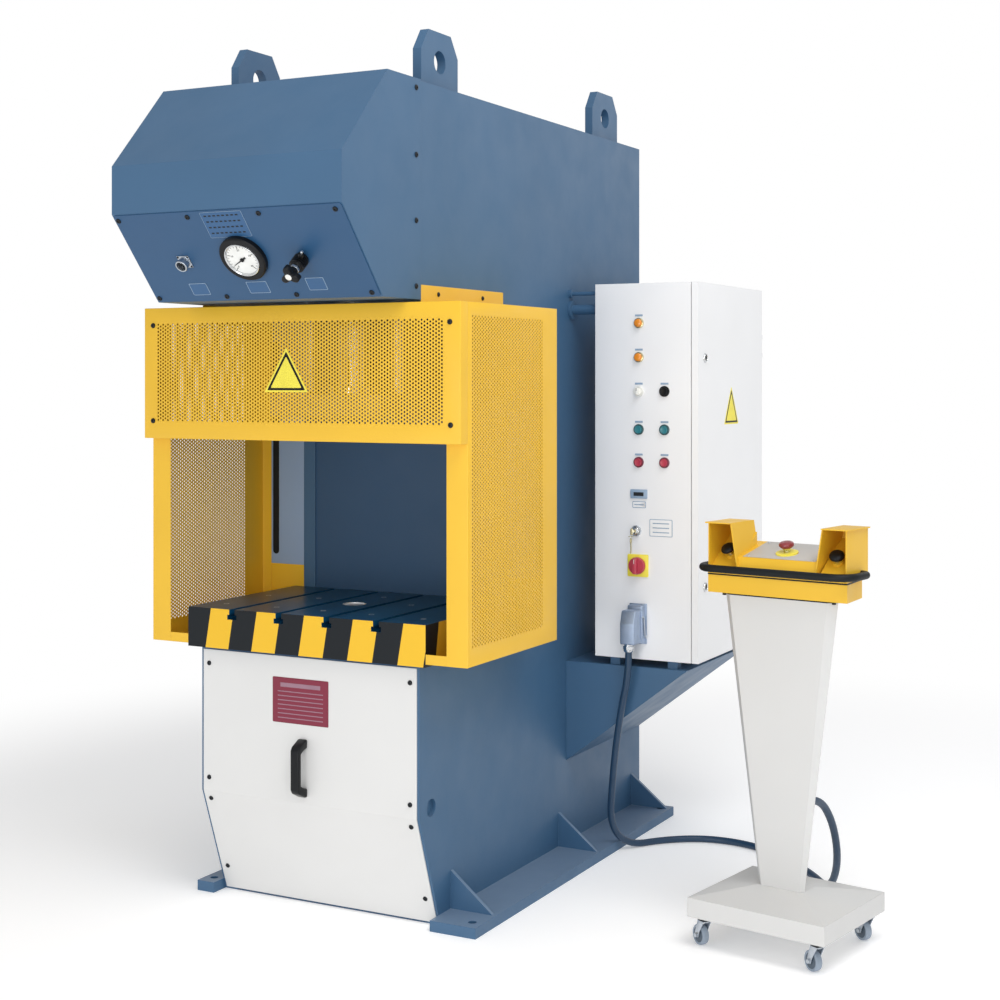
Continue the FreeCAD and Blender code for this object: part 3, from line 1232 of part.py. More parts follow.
def rounded_path(corners, share=0.45, bends=None):
    """Straight runs joined by tangent arcs, of given radii or as large as a share of the runs allows.

    Returns the edges, the arc radii and the length.
    """
    edges, radii = [], []
    start = V(*corners[0])
    for i in range(1, len(corners) - 1):
        before, corner, after = V(*corners[i - 1]), V(*corners[i]), V(*corners[i + 1])
        back, ahead = (before - corner).normalize(), (after - corner).normalize()
        half_turn = (math.pi - back.getAngle(ahead)) / 2
        if bends:
            cut = bends[i - 1] * math.tan(half_turn)
        else:
            cut = share * min((before - corner).Length, (after - corner).Length)
        radii.append(cut / math.tan(half_turn))
        enter, leave = corner + back * cut, corner + ahead * cut
        middle_way = (back + ahead).normalize()
        centre = corner + middle_way * (radii[-1] / math.cos(half_turn))
        crown = centre - middle_way * radii[-1]
        edges.append(Part.LineSegment(start, enter).toShape())
        edges.append(Part.Arc(enter, crown, leave).toShape())
        start = leave
    edges.append(Part.LineSegment(start, V(*corners[-1])).toShape())
    return edges, radii, sum(edge.Length for edge in edges)


def swept_tube(edges, section):
    """Sweep a closed wire, which stands at the path's start, along the path."""
    return Part.Wire(edges).makePipe(Part.Face(section))


def control_cable():
    """Cable with a faceted round section; its ends are seated in the two glands."""
    edges, radii, length = rounded_path(CABLE_ROUTE)
    start = V(*CABLE_ROUTE[0])
    ring = [start + V(a, b, 0) for a, b in ring_points(CABLE_SIDES, CABLE_DIA / 2)]
    cable = swept_tube(edges, Part.makePolygon(ring + ring[:1]))
    section = Part.Face(Part.makePolygon(ring + ring[:1])).Area
    print("cable radii", [round(r) for r in radii])
    print("cable length %.0f, volume %.0f, section x length %.0f"
          % (length, cable.Volume, section * length))
    return cable


# ---- pedestal, drawn about its own centre and turned into place by on_pedestal

def column_section(z, half, front, rear, chamfer, offset):
    """Outline of the column at one height; its side panels lean in to the back at one rate."""
    rate = (COLUMN_TOP_HALF - COLUMN_TOP_REAR_HALF) / (COLUMN_TOP_REAR - COLUMN_TOP_FRONT
                                                       - COLUMN_CHAMFER_TOP)
    rear_half = half - rate * (rear - front - chamfer)
    outline = [
        (-half + chamfer, front), (half - chamfer, front), (half, front + chamfer),
        (rear_half, rear), (-rear_half, rear), (-half, front + chamfer),
    ]
    if offset:
        outline = inset_outline(outline, offset)
    return [V(x, y, z) for x, y in outline]


def column_body(offset):
    foot = column_section(TRAY_TOP, COLUMN_FOOT_HALF, COLUMN_FOOT_FRONT, COLUMN_FOOT_REAR,
                          COLUMN_CHAMFER_FOOT, offset)
    top = column_section(CONSOLE_BOTTOM, COLUMN_TOP_HALF, COLUMN_TOP_FRONT, COLUMN_TOP_REAR,
                         COLUMN_CHAMFER_TOP, offset)
    return frustum(foot, top)


def pedestal_column():
    """Folded sheet column, wider at the top, with the cable's gland low on its back."""
    rise = (CABLE_ENTRY_Z - TRAY_TOP) / (CONSOLE_BOTTOM - TRAY_TOP)
    rear = COLUMN_FOOT_REAR + rise * (COLUMN_TOP_REAR - COLUMN_FOOT_REAR)
    gland = rod(V(0, rear - COLUMN_SHEET, CABLE_ENTRY_Z), Y_AXIS, CABLE_ENTRY_DIA,
                COLUMN_SHEET + CABLE_ENTRY_LENGTH)
    body = fuse([column_body(0), gland])
    return body.cut(column_body(COLUMN_SHEET))


def rectangle(x0, x1, y0, y1, z):
    return [V(x0, y0, z), V(x1, y0, z), V(x1, y1, z), V(x0, y1, z)]


def caster_corners():
    return [(sx * CASTER_SPAN_X / 2, sy * CASTER_SPAN_Y / 2) for sy in (-1, 1) for sx in (-1, 1)]


def pedestal_tray():
    """Ballast base with a hipped top and four caster plates under its corners."""
    half_x, half_y = TRAY_WIDTH / 2, TRAY_DEPTH / 2
    base = box(-half_x, half_x, -half_y, half_y, TRAY_BOTTOM, TRAY_RIM)
    hip = frustum(
        rectangle(-half_x, half_x, -half_y, half_y, TRAY_RIM),
        rectangle(-COLUMN_FOOT_HALF, COLUMN_FOOT_HALF, COLUMN_FOOT_FRONT, COLUMN_FOOT_REAR, TRAY_TOP))
    half = CASTER_PLATE / 2
    plates = [box(x - half, x + half, y - half, y + half, TRAY_BOTTOM - CASTER_PLATE_THICK,
                  TRAY_BOTTOM) for x, y in caster_corners()]
    tray = fuse([base, hip] + plates)
    return tray.cut([rod(V(x, y, TRAY_BOTTOM - CASTER_PLATE_THICK), Z_AXIS,
                         CASTER_STEM_DIA + 2 * SLIDE_GAP, CASTER_PLATE_THICK)
                     for x, y in caster_corners()])


def console_plan():
    return [
        (-CONSOLE_HALF, CONSOLE_FRONT), (CONSOLE_HALF, CONSOLE_FRONT),
        (CONSOLE_SIDE_HALF, CONSOLE_SIDE_END), (CONSOLE_REAR_HALF, CONSOLE_REAR),
        (-CONSOLE_REAR_HALF, CONSOLE_REAR), (-CONSOLE_SIDE_HALF, CONSOLE_SIDE_END),
    ]


def console_body():
    """Shallow folded pan under the console."""
    pan = prism_z(console_plan(), CONSOLE_BOTTOM, CONSOLE_RIM)
    inside = inset_outline(console_plan(), CONSOLE_SHEET)
    return pan.cut(prism_z(inside, CONSOLE_BOTTOM + CONSOLE_SHEET, CONSOLE_RIM))


def desk_z(y):
    return DESK_FRONT_Z + (y - DESK_FRONT) * (DESK_REAR_Z - DESK_FRONT_Z) / (DESK_REAR - DESK_FRONT)


def hood_arch(offset, y0, y1):
    """Left palm hood's inverted U: leaning inner wall, roof and outer wall."""
    outline = [(-HOOD_INNER_FOOT, CONSOLE_RIM), (-HOOD_INNER_TOP, HOOD_ROOF_Z),
               (-HOOD_OUTER_TOP, HOOD_ROOF_Z), (-HOOD_OUTER_TOP, CONSOLE_RIM)]
    if offset:
        outline = inset_outline(outline, offset)
        outline[0] = (outline[0][0], CONSOLE_RIM)
        outline[3] = (outline[3][0], CONSOLE_RIM)
    return prism_y(outline, y0, y1)


def palm_axis():
    """Direction out of the left palm button: forward, up and a little outwards."""
    pitch, splay = math.radians(PALM_PITCH), math.radians(PALM_SPLAY)
    return V(-math.sin(splay), -math.sin(pitch) * math.cos(splay),
             math.cos(pitch) * math.cos(splay))


def palm_seat():
    return V(-PALM_X, PALM_Y, PALM_SEAT_Z)


def palm_block():
    """Inclined seat of the palm button inside its hood."""
    slope = math.tan(math.radians(PALM_PITCH))
    low = PALM_SEAT_Z + (CONSOLE_FRONT + 2 * CONSOLE_SHEET - PALM_Y) * slope
    high = PALM_SEAT_Z + (HOOD_REAR - PALM_Y) * slope
    return prism_x([(CONSOLE_FRONT + 2 * CONSOLE_SHEET, CONSOLE_RIM),
                    (CONSOLE_FRONT + 2 * CONSOLE_SHEET, low), (HOOD_REAR, high),
                    (HOOD_REAR, CONSOLE_RIM)],
                   -HOOD_OUTER_TOP + CONSOLE_SHEET, -HOOD_INNER_TOP + 3 * CONSOLE_SHEET)


def stop_axis():
    slope = math.atan2(DESK_REAR_Z - DESK_FRONT_Z, DESK_REAR - DESK_FRONT)
    return V(0, -math.sin(slope), math.cos(slope))


def stop_seat():
    return V(0, STOP_Y, desk_z(STOP_Y))


def console_cover():
    """Folded desk with a palm hood on each side and the stop button's collar."""
    profile = [(CONSOLE_FRONT, CONSOLE_RIM), (DESK_FRONT, DESK_FRONT_Z), (DESK_REAR, DESK_REAR_Z),
               (CONSOLE_REAR, DESK_FRONT_Z), (CONSOLE_REAR, CONSOLE_RIM)]
    under = inset_outline(profile, CONSOLE_SHEET)
    under[0] = (under[0][0], CONSOLE_RIM)
    under[-1] = (under[-1][0], CONSOLE_RIM)
    desk = prism_z(console_plan(), CONSOLE_RIM, HOOD_ROOF_Z)
    desk = desk.common(prism_x(profile, -CONSOLE_HALF, CONSOLE_HALF))
    hollow = prism_z(inset_outline(console_plan(), CONSOLE_SHEET), CONSOLE_RIM, HOOD_ROOF_Z)
    hollow = hollow.common(prism_x(under, -CONSOLE_HALF, CONSOLE_HALF))
    desk = desk.cut(hollow)
    room = hood_arch(CONSOLE_SHEET, HOOD_FRONT, HOOD_REAR - CONSOLE_SHEET)
    collar = rod(palm_seat() - palm_axis() * CONSOLE_SHEET, palm_axis(), PALM_COLLAR_DIA,
                 PALM_COLLAR_HEIGHT + CONSOLE_SHEET)
    lip = box(-HOOD_OUTER_TOP - HOOD_LIP, -HOOD_INNER_TOP, HOOD_FRONT - HOOD_LIP, HOOD_REAR,
              HOOD_ROOF_Z - HOOD_LIP_THICK, HOOD_ROOF_Z)
    hood = hood_arch(0, HOOD_FRONT, HOOD_REAR).cut(room)
    block = palm_block()
    pocket = rod(palm_seat() - palm_axis() * (PALM_STEM_LENGTH + PALM_TRAVEL), palm_axis(),
                 PALM_STEM_DIA + 2 * SLIDE_GAP,
                 PALM_STEM_LENGTH + PALM_TRAVEL + PALM_COLLAR_HEIGHT)
    sides = [hood, block, collar, lip]
    ring = rod(stop_seat(), stop_axis(), STOP_RING_DIA, STOP_RING_HEIGHT)
    desk = desk.cut([room, mirrored(room)])
    cover = fuse([desk, ring] + sides + [mirrored(s) for s in sides])
    stop_bore = rod(stop_seat() - stop_axis() * 2 * CONSOLE_SHEET, stop_axis(),
                    STOP_STEM_DIA + 2 * SLIDE_GAP, 2 * CONSOLE_SHEET + STOP_RING_HEIGHT)
    return cover.cut([pocket, mirrored(pocket), stop_bore])


def palm_button():
    """Left palm button: stem in its collar and a low mushroom head."""
    axis, seat = palm_axis(), palm_seat()
    stem = rod(seat - axis * (PALM_STEM_LENGTH - 1), axis, PALM_STEM_DIA,
               2 * PALM_STEM_LENGTH - 1)
    head = rod(seat + axis * PALM_STEM_LENGTH, axis, PALM_DIA, PALM_HEIGHT)
    rim = [e for e in head.Edges if len(e.Vertexes) == 1]
    return fuse([stem, head.makeChamfer(PALM_HEIGHT / 4, rim)])


def stop_button():
    axis, seat = stop_axis(), stop_seat()
    base = seat - axis * 3 * CONSOLE_SHEET
    stem = rod(base, axis, STOP_STEM_DIA, STOP_STEM_LENGTH + 3 * CONSOLE_SHEET)
    head = rod(seat + axis * STOP_STEM_LENGTH, axis, STOP_DIA, STOP_HEIGHT)
    rim = [e for e in head.Edges if len(e.Vertexes) == 1]
    return fuse([stem, head.makeChamfer(STOP_HEIGHT / 4, rim)])


def push_rail(cover):
    """Bent tube round the console's front, its ends on the hoods' outer walls."""
    root = HOOD_OUTER_TOP - CONSOLE_SHEET / 2
    corners = [
        (-root, RAIL_ROOT_Y, RAIL_Z), (-RAIL_HALF, RAIL_ROOT_Y, RAIL_Z),
        (-RAIL_HALF, RAIL_FRONT, RAIL_Z), (RAIL_HALF, RAIL_FRONT, RAIL_Z),
        (RAIL_HALF, RAIL_ROOT_Y, RAIL_Z), (root, RAIL_ROOT_Y, RAIL_Z),
    ]
    bends = [RAIL_ROOT_BEND, RAIL_BEND, RAIL_BEND, RAIL_ROOT_BEND]
    path = rounded_path(corners, bends=bends)[0]
    ring = [V(*corners[0]) + V(0, a, b) for a, b in ring_points(RAIL_SIDES, RAIL_DIA / 2)]
    rail = swept_tube(path, Part.makePolygon(ring + ring[:1]))
    return rail.cut(cover)


def caster_fork():
    """Stem, head disc and two legs that carry the axle behind the swivel."""
    head_top = TRAY_BOTTOM - CASTER_PLATE_THICK - SEAT_GAP
    head_low = head_top - CASTER_HEAD_THICK
    axle_z = WHEEL_DIA / 2
    half = CASTER_FORK_WIDTH / 2
    eye = AXLE_DIA
    outline = [(-half, head_low), (half, head_low), (CASTER_TRAIL + eye, axle_z),
               (CASTER_TRAIL, axle_z - eye), (CASTER_TRAIL - eye, axle_z)]
    pieces = [
        rod(V(0, 0, head_low), Z_AXIS, 1.3 * CASTER_FORK_WIDTH, CASTER_HEAD_THICK),
        rod(V(0, 0, head_low), Z_AXIS, CASTER_STEM_DIA, CASTER_HEAD_THICK + CASTER_PLATE_THICK),
        prism_y(outline, half - CASTER_FORK_SHEET, half),
        prism_y(outline, -half, -half + CASTER_FORK_SHEET),
        rod(V(CASTER_TRAIL, -half, axle_z), Y_AXIS, AXLE_DIA, 2 * half),
    ]
    return fuse(pieces)


def caster_wheel():
    axle_z = WHEEL_DIA / 2
    tyre = rod(V(CASTER_TRAIL, -WHEEL_WIDTH / 2, axle_z), Y_AXIS, WHEEL_DIA, WHEEL_WIDTH)
    hub = rod(V(CASTER_TRAIL, -WHEEL_HUB_WIDTH / 2, axle_z), Y_AXIS, 2 * AXLE_DIA, WHEEL_HUB_WIDTH)
    bore = rod(V(CASTER_TRAIL, -WHEEL_HUB_WIDTH / 2, axle_z), Y_AXIS,
               AXLE_DIA + 2 * SLIDE_GAP, WHEEL_HUB_WIDTH)
    return fuse([tyre, hub]).cut(bore)


def at_corner(shape, corner):
    placed = shape.copy()
    turn = FreeCAD.Placement(V(corner[0], corner[1], 0),
                             FreeCAD.Rotation(Z_AXIS, CASTER_HEADING))
    placed.Placement = turn.multiply(placed.Placement)
    return on_pedestal(placed)


# ---- every node

save("side_plate_left", side_plate(-1))
save("side_plate_right", side_plate(1))
save("frame_plates", frame_plates())
save("lifting_lugs", group(lifting_lugs()))
save("work_table", work_table())
save("cylinder", cylinder())
save("ram_rod", ram_rod())
save("platen", platen())
save("hydraulic_unit", hydraulic_unit())
save("head_cover", head_cover())
save("control_panel", control_panel())
save("pressure_gauge", pressure_gauge())
save("gauge_pointer", gauge_pointer())
save("panel_socket", panel_socket())
save("regulator_valve", regulator_valve())
save("regulator_knob", regulator_knob())

right_side = guard_side()
save("guard_side_right", right_side)
save("guard_side_left", mirrored(right_side))
save("guard_front_panel", guard_front_panel().cut(screw_holes()))
save("guard_rear_plates", group(guard_rear_plates()))
save("cover_screws", group(cover_screws()))
save("lower_front_cover", lower_front_cover())
save("cover_handle", cover_handle())

save("cabinet_body", cabinet_body())
save("cabinet_door", cabinet_door())
save("door_lock_upper", door_lock(cabinet_z(LOCK_UPPER_SHARE)))
save("door_lock_lower", door_lock(cabinet_z(LOCK_LOWER_SHARE)))
save("cabinet_bracket", cabinet_bracket())
save("cabinet_stays", group(cabinet_stays()))
save("pilot_lights", group([pilot_light(spot) for spot in LIGHT_SPOTS]))
save("device_bezels", group([bezel(spot) for spot in
                             list(BUTTON_SPOTS.values()) + [SELECTOR_SPOT, KEY_SPOT]]))
for button, spot in BUTTON_SPOTS.items():
    save(button, button_core(spot, BUTTON_PROUD))
save("mode_selector", mode_selector())
save("key_switch", key_switch())
save("device_plates", group(device_plates()))
save("isolator_knob", isolator_knob())
save("connector_base", connector_base())
save("connector_hood", connector_hood())
save("connector_lever", connector_lever())
save("control_cable", control_cable())

cover = console_cover()
save("pedestal_column", on_pedestal(pedestal_column()))
save("pedestal_tray", on_pedestal(pedestal_tray()))
save("console_body", on_pedestal(console_body()))
save("console_cover", on_pedestal(cover))
save("push_rail", on_pedestal(push_rail(cover)))
save("palm_button_left", on_pedestal(palm_button()))
save("palm_button_right", on_pedestal(mirrored(palm_button())))
save("stop_button", on_pedestal(stop_button()))
CASTER_NAMES = ("front_left", "front_right", "rear_left", "rear_right")
for place_name, corner in zip(CASTER_NAMES, caster_corners()):
    save("caster_fork_" + place_name, at_corner(caster_fork(), corner))
    save("caster_wheel_" + place_name, at_corner(caster_wheel(), corner))

for name, shape in made.items():
    if not shape.isValid():
        raise ValueError(name + " is not a valid shape")
print(len(made), "nodes")
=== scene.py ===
"""Looks of the hydraulic press: guard, panel, cabinet, cable and two-hand pedestal, over its CAD frame.

Sizes in the code are millimetres unless a name says otherwise; MM turns them to metres.
"""

import functools
import math

import bpy
from mathutils import Matrix, Vector


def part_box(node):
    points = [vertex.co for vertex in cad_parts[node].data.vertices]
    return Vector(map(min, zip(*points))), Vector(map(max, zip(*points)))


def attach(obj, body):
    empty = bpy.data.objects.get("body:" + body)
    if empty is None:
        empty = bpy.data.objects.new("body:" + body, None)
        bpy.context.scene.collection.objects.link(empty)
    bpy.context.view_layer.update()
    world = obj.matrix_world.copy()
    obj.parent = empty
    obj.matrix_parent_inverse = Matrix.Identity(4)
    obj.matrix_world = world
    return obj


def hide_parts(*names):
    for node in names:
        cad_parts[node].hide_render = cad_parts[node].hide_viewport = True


bl_info = {
    "name": "Hydraulic press",
    "version": (1, 0, 0),
    "blender": (4, 5, 0),
    "location": "View3D > Sidebar > Press",
    "description": "Builds the finishes and small pieces of a C-frame hydraulic press",
    "category": "Object",
}

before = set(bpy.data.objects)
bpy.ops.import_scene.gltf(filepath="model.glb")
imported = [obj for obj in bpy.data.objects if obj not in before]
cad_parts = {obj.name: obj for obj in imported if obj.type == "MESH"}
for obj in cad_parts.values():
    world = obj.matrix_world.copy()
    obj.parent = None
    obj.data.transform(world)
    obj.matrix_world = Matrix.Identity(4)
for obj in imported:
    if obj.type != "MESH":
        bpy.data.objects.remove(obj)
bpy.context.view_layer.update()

MM = 0.001
X, Y, Z = Vector((1, 0, 0)), Vector((0, 1, 0)), Vector((0, 0, 1))


# ---- colours and sizes that a user may change

def linear(code):
    """An sRGB hex colour as the linear values that Blender works in."""
    channels = [int(code[i:i + 2], 16) / 255 for i in (0, 2, 4)]
    return tuple(c / 12.92 if c <= 0.04045 else ((c + 0.055) / 1.055) ** 2.4 for c in channels)


def colour_setting(name, description, code):
    return bpy.props.FloatVectorProperty(
        name=name, description=description, default=linear(code), subtype="COLOR",
        min=0.0, max=1.0, size=3)


def length_setting(name, description, metres):
    return bpy.props.FloatProperty(
        name=name, description=description, default=metres, unit="LENGTH", min=0.0001, precision=4)


class PressColours(bpy.types.PropertyGroup):
    """Colours of the press's finishes"""
    frame_blue: colour_setting("Frame blue", "Powder coat of the welded frame", "3C6081")
    panel_blue: colour_setting("Panel blue", "Darker coat of the inclined panel", "264F75")
    guard_yellow: colour_setting("Guard yellow", "Powder coat of guard and console", "E5B62C")
    # Lighter than the pedestal's grey: painted light that makes up for the shade on the cabinet
    light_grey: colour_setting("Light grey", "Enamel of the cabinet", "EBECEE")
    cover_white: colour_setting("Cover white", "Enamel of the lower front cover", "D6D6D5")
    # Darker than the cabinet's grey: painted shade for the brightly lit pedestal
    darkened_pedestal_grey: colour_setting("Pedestal grey", "Enamel of the pedestal", "CFCFCE")
    # A darker copy of the frame blue: painted shade for the frame's inner plates
    shaded_throat_blue: colour_setting("Throat blue", "Coat inside the frame", "2B4E70")
    # A lighter copy of the frame blue: painted light on the slotted closing plates
    pale_blue: colour_setting("Pale blue", "Coat of the slotted closing plates", "8BA3C2")
    table_steel: colour_setting("Table steel", "Blued steel of the work table", "0F4263")
    stripe_black: colour_setting("Stripe black", "Dark band of the warning stripes", "0B1218")
    sign_red: colour_setting("Sign red", "Bare sign on the front cover", "7C2038")
    cable_blue: colour_setting("Cable blue", "Jacket of the control cable", "1D3A55")
    desk_grey: colour_setting("Desk grey", "Top of the two-hand console", "B9B6B2")
    lamp_amber: colour_setting("Lamp amber", "Lenses of the pilot lights", "E2891E")
    button_green: colour_setting("Button green", "Caps of the start buttons", "277A86")
    button_red: colour_setting("Button red", "Caps of the stop buttons", "B4364C")


class PressSizes(bpy.types.PropertyGroup):
    """Sizes of the press's small pieces"""
    hole_pitch: length_setting("Hole pitch", "Distance between the guard's holes", 0.0095)
    hole_size: length_setting("Hole size", "Width of one hole in the guard", 0.0054)
    screw_head: length_setting("Screw head", "Diameter of the button-head screws", 0.014)
    stripe_pitch: length_setting("Stripe pitch", "One black and one yellow stripe", 0.150)
    cable_size: length_setting("Cable size", "Diameter of the control cable", 0.020)


def colour(name):
    return tuple(getattr(bpy.context.scene.press_colours, name))


def size(name):
    """A size in millimetres."""
    return getattr(bpy.context.scene.press_sizes, name) / MM


# ---- places

def place(origin, across=X, up=Z):
    """Frame with local X across, local Y up and local Z standing out of the surface."""
    across, up = Vector(across).normalized(), Vector(up).normalized()
    out = across.cross(up)
    turn = Matrix((across, up, out)).transposed().to_4x4()
    return Matrix.Translation(Vector(origin) * MM) @ turn


def shift(x=0.0, y=0.0, z=0.0):
    return Matrix.Translation(Vector((x, y, z)) * MM)


def rotated(degrees, axis="Z"):
    return Matrix.Rotation(math.radians(degrees), 4, axis)


def node_side(node, axis, side):
    """Where a CAD node ends along an axis, in millimetres: side 0 is its low end, 1 its high end."""
    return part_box(node)[side][axis] / MM


CABINET_FRONT = node_side("cabinet_body", 1, 0)
DOOR_FACE = 754.0
COVER_FACE = -715.0

SLOPE_FOOT = Vector((0, -890, 1600))
SLOPE_UP = Vector((0, -182, 213)).normalized()
PANEL = place(SLOPE_FOOT + X.cross(SLOPE_UP) * 3, X, SLOPE_UP)
PEDESTAL = shift(1169.5, -330) @ rotated(-9.5)


def on_front(x, z, out=0.0):
    """Frame on the cabinet's front."""
    return place((x, CABINET_FRONT - out, z))


def on_panel(x, up, out=0.0):
    """Frame on the inclined panel: x across, up along the slope."""
    return PANEL @ shift(x, up, out)


# ---- modelling by hand

def deselect():
    if bpy.context.object and bpy.context.object.mode != "OBJECT":
        leave_edit()
    bpy.ops.object.select_all(action="DESELECT")


def added(operator, **settings):
    """Add an object in object mode, with nothing else selected."""
    deselect()
    operator(**settings)
    return bpy.context.object


def hold(*pieces):
    """Select these pieces alone; the last one is active."""
    deselect()
    for piece in pieces:
        piece.select_set(True)
    bpy.context.view_layer.objects.active = pieces[-1]
    return pieces[-1]


def settle(piece, where=None):
    """Carry the piece to its place and put that place into its mesh."""
    hold(piece)
    if where is not None:
        piece.matrix_world = where @ piece.matrix_world
    bpy.ops.object.transform_apply(location=True, rotation=True, scale=True)
    return piece


def finish_with(piece, kind, **settings):
    """Add a modifier with these settings and apply it."""
    hold(piece)
    modifier = piece.modifiers.new(kind.title(), kind)
    for name, value in settings.items():
        setattr(modifier, name, value)
    bpy.ops.object.modifier_apply(modifier=modifier.name)
    return piece


def soften(piece, width, segments=2, angle=40):
    """Round the sharp edges by a small radius."""
    return finish_with(piece, "BEVEL", width=width * MM, segments=segments,
                       limit_method="ANGLE", angle_limit=math.radians(angle))


def edit_all():
    """Go into edit mode with everything selected."""
    bpy.ops.object.mode_set(mode="EDIT")
    bpy.ops.mesh.select_all(action="SELECT")


def leave_edit():
    bpy.ops.object.mode_set(mode="OBJECT")


def draw_out(way):
    """Extrude what is selected, along a vector in metres."""
    bpy.ops.mesh.extrude_region_move(TRANSFORM_OT_translate={"value": way})


def face_out(piece):
    """Merge doubles and turn every face outwards."""
    hold(piece)
    edit_all()
    bpy.ops.mesh.remove_doubles(threshold=0.000005)
    bpy.ops.mesh.normals_make_consistent(inside=False)
    leave_edit()
    return piece


def turned(rings, where=Matrix(), sides=32):
    """Lathe form: a disc drawn out and sized ring by ring, given as (radius, height) pairs."""
    radius, height = rings[0]
    piece = added(bpy.ops.mesh.primitive_circle_add, vertices=sides, radius=radius * MM,
                  fill_type="NGON", location=(0, 0, height * MM))
    edit_all()
    for next_radius, next_height in rings[1:]:
        draw_out((0, 0, (next_height - height) * MM))
        share = next_radius / radius
        bpy.ops.transform.resize(value=(share, share, 1), center_override=(0, 0, 0))
        radius, height = next_radius, next_height
    leave_edit()
    return settle(face_out(piece), where)


def corners(x0, x1, y0, y1):
    return [(x0, y0), (x1, y0), (x1, y1), (x0, y1)]


def cut_plate(outline, thick, where=Matrix(), low=0.0, radius=0.0, edge=0.0, segments=2):
    """Flat plate: a disc whose corners are moved to an outline, then drawn out along local Z.

    The radius rounds the outline's corners, and the edge rounds the plate's edges.
    """
    if radius:
        outline = rounded_outline(outline, radius)
    piece = added(bpy.ops.mesh.primitive_circle_add, vertices=len(outline), radius=MM,
                  fill_type="NGON")
    for vertex, (a, b) in zip(piece.data.vertices, outline):
        vertex.co = (a * MM, b * MM, low * MM)
    edit_all()
    draw_out((0, 0, thick * MM))
    leave_edit()
    face_out(piece)
    if edge:
        soften(piece, edge, segments)
    return settle(piece, where)


def block(low, high, where=Matrix(), edge=0.0, segments=1):
    """Box between two corners, its edges rounded by a small radius."""
    low, high = Vector(low), Vector(high)
    piece = added(bpy.ops.mesh.primitive_cube_add, size=1, location=(low + high) / 2 * MM)
    piece.scale = (high - low) * MM
    settle(piece)
    if edge:
        soften(piece, edge, segments)
    return settle(piece, where)


def copied(piece, *places):
    """The piece and a copy of it, with its own mesh, at each further place."""
    copies = [piece]
    for where in places:
        twin = piece.copy()
        twin.data = piece.data.copy()
        bpy.context.collection.objects.link(twin)
        copies.append(settle(twin, where))
    return copies


def set_out(piece, places):
    """Copies of the piece at these places; the one they are made from goes."""
    copies = copied(piece, *places)
    bpy.data.objects.remove(copies.pop(0))
    return copies


def mirrored(piece):
    """A copy on the other side of the machine's centre plane."""
    return face_out(copied(piece, Matrix.Diagonal((-1, 1, 1, 1)))[1])


def painted(piece, finish):
    """Give the piece one finish, by its name in FINISH."""
    piece.data.materials.clear()
    piece.data.materials.append(FINISH[finish])
    return piece


def coated(finish, *pieces):
    return [painted(piece, finish) for piece in pieces]


def joined(pieces):
    hold(*pieces)
    if len(pieces) > 1:
        bpy.ops.object.join()
    return bpy.context.object


def done(pieces, name, body="root", stands_for="", angle=35):
    """Join the parts of one piece, name it, and let it ride on its body."""
    piece = joined(pieces)
    piece.name = piece.data.name = name
    bpy.ops.object.shade_smooth_by_angle(angle=math.radians(angle))
    if stands_for:
        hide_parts(stands_for)
    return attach(piece, body)


def moving(pieces, name, slot, body):
    """A piece that stands for the whole of a moving body's node."""
    return done(pieces, name, body, stands_for=body)


# ---- finishes

def add_node(tree, kind, inputs=None, **settings):
    """Add a node with its settings; each input takes a value or another node's output."""
    new = tree.nodes.new(kind)
    for name, value in settings.items():
        setattr(new, name, value)
    for key, value in (inputs or {}).items():
        if isinstance(value, bpy.types.NodeSocket):
            tree.links.new(value, new.inputs[key])
        else:
            new.inputs[key].default_value = value
    return new


def new_finish(name, base, **constants):
    """A material with one Principled shader; the constants go on its own sockets."""
    finish = bpy.data.materials.new(name)
    finish.use_nodes = True
    tree = finish.node_tree
    shader = tree.nodes["Principled BSDF"]
    shader.inputs["Base Color"].default_value = (*base, 1)
    for key, value in constants.items():
        shader.inputs[key.replace("_", " ").title().replace("Ior", "IOR")].default_value = value
    return finish, tree, shader


def object_point(tree):
    return add_node(tree, "ShaderNodeTexCoord").outputs["Object"]


def grain(tree, spacing, detail=2.0, stretch=(1, 1, 1), rough=0.5):
    """Noise whose features lie about one spacing (mm) apart."""
    point = object_point(tree)
    if stretch != (1, 1, 1):
        point = add_node(tree, "ShaderNodeMapping", {"Vector": point, "Scale": stretch}).outputs[0]
    return add_node(tree, "ShaderNodeTexNoise",
                    {"Vector": point, "Scale": 1 / (spacing * MM), "Detail": detail,
                     "Roughness": rough}).outputs["Fac"]


def spread(tree, value, low, high, start=0.3, end=0.7):
    """Map a noise value onto a range."""
    return add_node(tree, "ShaderNodeMapRange",
                    {"Value": value, "From Min": start, "From Max": end,
                     "To Min": low, "To Max": high}).outputs[0]


def mixed(tree, share, first, second):
    """Colour between two others."""
    return add_node(tree, "ShaderNodeMix", {0: share, 6: first, 7: second},
                    data_type="RGBA").outputs[2]


def axes(tree, vector):
    return add_node(tree, "ShaderNodeSeparateXYZ", {0: vector}).outputs


def facing_way(tree):
    return axes(tree, add_node(tree, "ShaderNodeNewGeometry").outputs["Normal"])


def math_node(tree, operation, *values):
    return add_node(tree, "ShaderNodeMath", dict(enumerate(values)), operation=operation).outputs[0]


def tint(tree, value, shade, dark, light):
    """The shade between a darker and a lighter share of itself, as a value goes from 0 to 1."""
    low, high = ((*(min(c * share, 1) for c in shade), 1) for share in (dark, light))
    return mixed(tree, value, low, high)


